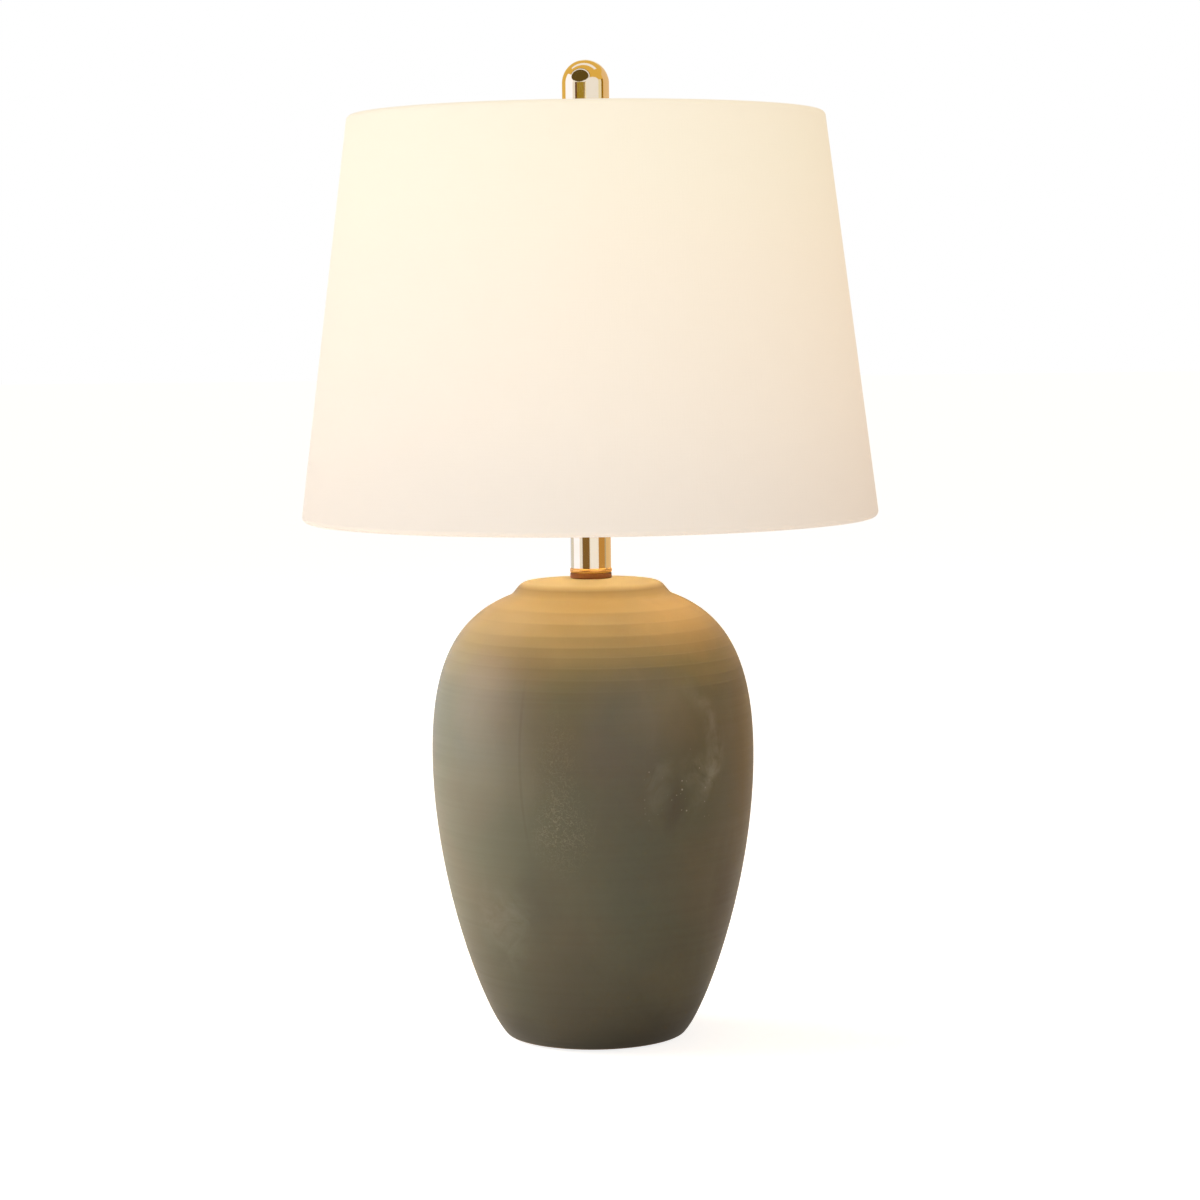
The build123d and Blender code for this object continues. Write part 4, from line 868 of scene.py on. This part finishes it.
# Shade liner. White styrene sheet, rolled and glued behind the cloth, which it keeps to the cone.
# It is a little hazy and has a soft gloss.
styrene, shader, place = start_material("rolled_white_styrene")
HAZE_SIZE = 0.03
haze = add_node(styrene, "ShaderNodeTexNoise", {"Vector": place, "Scale": 1 / HAZE_SIZE, "Detail": 3.0})
haze_colour = add_node(
    styrene, "ShaderNodeMix",
    {"Factor": haze.outputs["Fac"], MIX_A: linear("#EFEAE0"), MIX_B: linear("#F6F3EC")}, data_type="RGBA",
)
styrene.node_tree.links.new(haze_colour.outputs[MIX_RESULT], shader.inputs["Base Color"])
shader.inputs["Roughness"].default_value = 0.45
shader.inputs["IOR"].default_value = 1.59
nodes["shade_liner"].material_slots[0].material = styrene

# Floor. A white paper sweep, which shows as the white ground and keeps the lamp's shadow.
# It lies a hair under the felt, so that the two faces don't share a plane.
FLOOR_SIZE = 40.0
FLOOR_DROP = 0.0003
FLOOR_GLOW = 0.84
MIRRORED_SHARE = 0.35
bpy.ops.object.select_all(action="DESELECT")
bpy.ops.mesh.primitive_plane_add(size=FLOOR_SIZE, location=(0, 0, -FLOOR_DROP))
floor = bpy.context.object
floor.name = "paper_floor"
paper = bpy.data.materials.new("white_paper_sweep")
paper.use_nodes = True
shader = paper.node_tree.nodes["Principled BSDF"]
shader.inputs["Base Color"].default_value = linear("#BFBDB9")
shader.inputs["Roughness"].default_value = 0.9
shader.inputs["Specular IOR Level"].default_value = 0.0
shader.inputs["Emission Color"].default_value = linear("#FFFFFF")
light_path = add_node(paper, "ShaderNodeLightPath")
looked_at = add_node(
    paper, "ShaderNodeMath",
    {0: light_path.outputs["Is Camera Ray"], 1: light_path.outputs["Is Transmission Ray"]},
    operation="MAXIMUM",
)
mirrored = add_node(
    paper, "ShaderNodeMath",
    {0: light_path.outputs["Is Glossy Ray"], 1: MIRRORED_SHARE}, operation="MULTIPLY",
)
seen = add_node(
    paper, "ShaderNodeMath", {0: looked_at.outputs[0], 1: mirrored.outputs[0]}, operation="MAXIMUM"
)
lift = add_node(paper, "ShaderNodeMath", {0: seen.outputs[0], 1: FLOOR_GLOW}, operation="MULTIPLY")
paper.node_tree.links.new(lift.outputs[0], shader.inputs["Emission Strength"])
floor.data.materials.append(paper)

# Room. White where the camera, metal or glass sees it. On everything else it is a soft fill,
# a little cooler from the left and warmer from the right.
FILL_LEFT, FILL_RIGHT = 0.45, 0.36
LEFT_SIDE, RIGHT_SIDE = -0.6, 0.9
world = bpy.data.worlds.new("white_room")
bpy.context.scene.world = world
world.use_nodes = True
fill = world.node_tree.nodes["Background"]
direction = add_node(world, "ShaderNodeTexCoord").outputs["Generated"]
sideways = add_node(world, "ShaderNodeSeparateXYZ", {"Vector": direction}).outputs["X"]
side_share = add_node(
    world, "ShaderNodeMapRange", {"Value": sideways, "From Min": LEFT_SIDE, "From Max": RIGHT_SIDE}
)
side_colour = add_node(
    world, "ShaderNodeMix",
    {"Factor": side_share.outputs[0], MIX_A: linear("#FFFCF8"), MIX_B: linear("#FFD79C")},
    data_type="RGBA",
)
world.node_tree.links.new(side_colour.outputs[MIX_RESULT], fill.inputs["Color"])
fill_strength = add_node(
    world, "ShaderNodeMapRange",
    {
        "Value": sideways, "From Min": LEFT_SIDE, "From Max": RIGHT_SIDE, "To Min": FILL_LEFT,
        "To Max": FILL_RIGHT,
    },
)
world.node_tree.links.new(fill_strength.outputs[0], fill.inputs["Strength"])
white = add_node(world, "ShaderNodeBackground", {"Color": linear("#FFFFFF"), "Strength": 1.0})
light_path = add_node(world, "ShaderNodeLightPath")
looked_at = add_node(
    world, "ShaderNodeMath",
    {0: light_path.outputs["Is Camera Ray"], 1: light_path.outputs["Is Glossy Ray"]}, operation="MAXIMUM",
)
seen = add_node(
    world, "ShaderNodeMath",
    {0: looked_at.outputs[0], 1: light_path.outputs["Is Transmission Ray"]}, operation="MAXIMUM",
)
room = add_node(
    world, "ShaderNodeMixShader", {0: seen.outputs[0], 1: fill.outputs[0], 2: white.outputs[0]}
)
world.node_tree.links.new(room.outputs[0], world.node_tree.nodes["World Output"].inputs["Surface"])

# Lamps. A tall soft box on the left with a small cool fill by it, and a narrow warm one behind
# on the right. Flags keep the big and the warm box off the shade, so that the cloth shows its own
# glow, and a cool box by the camera on the shade alone, which rounds it off towards its sides.
LAMP_AIM = Vector((0, 0, 0.3))
off_the_shade = bpy.data.collections.new("kept_off_the_shade")
for piece in (shade_cloth, shade_seam):
    off_the_shade.objects.link(piece)
for link in off_the_shade.collection_objects:
    link.light_linking.link_state = "EXCLUDE"
on_the_shade = bpy.data.collections.new("kept_on_the_shade")
for piece in (shade_cloth, shade_seam):
    on_the_shade.objects.link(piece)
# Each has a bearing from the camera's side, a distance, a height, a size, watts, a colour and a flag.
for name, bearing, distance, height, size, power, hex_colour, receivers in (
    ("left_soft_box", -101, 1.6, 1.1, (1.5, 2.0), 68.0, "#FFF3E4", off_the_shade),
    ("left_fill_box", -75, 1.6, 0.6, (1.0, 1.0), 1.5, "#C8DCFF", None),
    ("right_warm_box", 112, 1.5, 0.5, (0.5, 1.2), 2.6, "#FFB866", off_the_shade),
    ("front_soft_box", 0, 1.9, 0.45, (0.8, 0.8), 5.4, "#B5DDFF", on_the_shade),
):
    turn = math.radians(bearing)
    stand = Vector((math.sin(turn) * distance, -math.cos(turn) * distance, height))
    bpy.ops.object.light_add(type="AREA", location=stand)
    lamp = bpy.context.object
    lamp.name = name
    lamp.rotation_euler = (LAMP_AIM - stand).to_track_quat("-Z", "Z").to_euler()
    lamp.data.shape = "RECTANGLE"
    lamp.data.size, lamp.data.size_y = size
    lamp.data.energy = power
    lamp.data.color = linear(hex_colour)[:3]
    lamp.visible_glossy = False
    if receivers:
        lamp.light_linking.receiver_collection = receivers

# Cards that only polished metal and the glaze's gloss can see, as in a studio with white screens
# on the left and by the camera, wooden walls and a tan ceiling. They give the brass its bands.
CARD_FACETS = 64
# Each has a bearing from the camera's side, a distance, a height, a tilt, a turn, a size, whether
# it is round, a colour and a strength.
for name, bearing, distance, height, tilt, spin, size, round_card, hex_colour, strength in (
    ("left_screen", -88, 1.5, 0.75, 90, 0, (1.45, 1.50), False, "#C4CCFF", 2.2),
    ("left_back_screen", -145, 1.3, 0.30, 90, 0, (1.50, 0.60), False, "#D5DCF5", 1.1),
    ("beige_card", -55, 1.3, 0.365, 90, 0, (0.50, 0.73), False, "#C5CCEB", 1.65),
    ("dark_card", -27.5, 1.2, 0.225, 90, 0, (0.88, 0.45), False, "#856B45", 1.0),
    ("olive_card", -25, 1.2, 0.58, 90, 0, (0.73, 0.26), False, "#A59137", 1.0),
    ("dark_strip", -47, 1.2, 0.58, 90, 0, (0.21, 0.26), False, "#653C12", 1.0),
    ("dark_scrim", -31.6, 0.97, 1.295, 54, 0, (2.14, 1.31), True, "#61532C", 1.0),
    ("scrim_rim", -31.6, 1.01, 1.325, 54, 0, (2.60, 1.68), True, "#CFD8FF", 1.6),
    ("scrim_edge", -31.6, 1.05, 1.354, 54, 0, (2.94, 1.94), True, "#86692A", 1.0),
    ("white_screen", 21, 1.2, 0.225, 90, 0, (1.12, 0.45), False, "#CFD8FF", 1.6),
    ("upper_screen", 35, 1.2, 0.675, 90, 0, (1.50, 0.45), False, "#CFD8FF", 1.5),
    ("screen_arch", 35, 1.21, 0.90, 90, 0, (1.50, 0.55), True, "#CFD8FF", 1.5),
    ("brown_card", 67, 1.25, 0.225, 90, 0, (0.95, 0.45), False, "#C69B60", 1.0),
    ("beige_post", 75.5, 1.3, 0.675, 90, 0, (0.40, 0.45), False, "#F3F4F0", 1.0),
    ("dark_post", 90.5, 1.3, 0.70, 90, 0, (0.28, 0.50), False, "#997526", 1.0),
    ("gold_wall", 72, 1.5, 1.35, 90, 0, (2.00, 1.90), False, "#E6C36E", 1.0),
    ("front_wall", 20, 1.75, 1.85, 90, 0, (2.60, 0.90), False, "#E6C36E", 1.0),
    ("tan_card", 130, 1.2, 0.70, 90, 0, (1.50, 1.40), False, "#EBD0B2", 1.0),
    ("amber_card", 170, 1.5, 0.40, 90, 0, (0.90, 0.80), False, "#F0B050", 1.0),
    ("tan_wall", -145, 1.2, 1.10, 90, 0, (1.30, 1.00), False, "#E6C36E", 1.0),
    ("tan_ceiling", 0, 0.97, 2.30, 0, 0, (6.10, 6.80), False, "#E6C36E", 1.0),
    ("ceiling_strip", -164, 0.467, 2.20, 0, -34, (2.70, 0.49), False, "#CFD8FF", 1.6),
):
    turn = math.radians(bearing)
    bpy.ops.object.select_all(action="DESELECT")
    stand = (math.sin(turn) * distance, -math.cos(turn) * distance, height)
    lean = (math.radians(tilt), 0, math.radians(bearing + spin))
    if round_card:
        bpy.ops.mesh.primitive_circle_add(
            vertices=CARD_FACETS, radius=0.5, fill_type="NGON", location=stand, rotation=lean
        )
    else:
        bpy.ops.mesh.primitive_plane_add(size=1.0, location=stand, rotation=lean)
    card = bpy.context.object
    card.name = name
    card.scale = (size[0], size[1], 1.0)
    bpy.ops.object.transform_apply(location=True, rotation=True, scale=True)
    card_paint = bpy.data.materials.new(name + "_paint")
    card_paint.use_nodes = True
    shader = card_paint.node_tree.nodes["Principled BSDF"]
    shader.inputs["Base Color"].default_value = (0, 0, 0, 1)
    shader.inputs["Specular IOR Level"].default_value = 0.0
    shader.inputs["Emission Color"].default_value = linear(hex_colour)
    shader.inputs["Emission Strength"].default_value = strength
    card_paint.cycles.emission_sampling = "NONE"
    card.data.materials.append(card_paint)
    card.visible_camera = False
    card.visible_diffuse = False
    card.visible_transmission = False
    card.visible_shadow = False

# Camera. Two metres off and about as high as the middle of the shade, with a short telephoto lens.
# It is tipped 5 degrees down and hardly rolled.
SENSOR_WIDTH = 36.0
LENS_LENGTH = 95.76
CAMERA_PLACE = Vector((0.0054, -1.974, 0.4506))
CAMERA_TIP = math.radians(90 - 5.154)
CAMERA_ROLL = math.radians(-0.638)
bpy.ops.object.camera_add()
camera = bpy.context.object
camera.data.sensor_width = SENSOR_WIDTH
camera.data.lens = LENS_LENGTH
camera.matrix_world = (
    Matrix.Translation(CAMERA_PLACE)
    @ Matrix.Rotation(CAMERA_TIP, 4, "X")
    @ Matrix.Rotation(CAMERA_ROLL, 4, "Z")
)
bpy.context.scene.camera = camera
bpy.context.scene.view_settings.view_transform = "Standard"
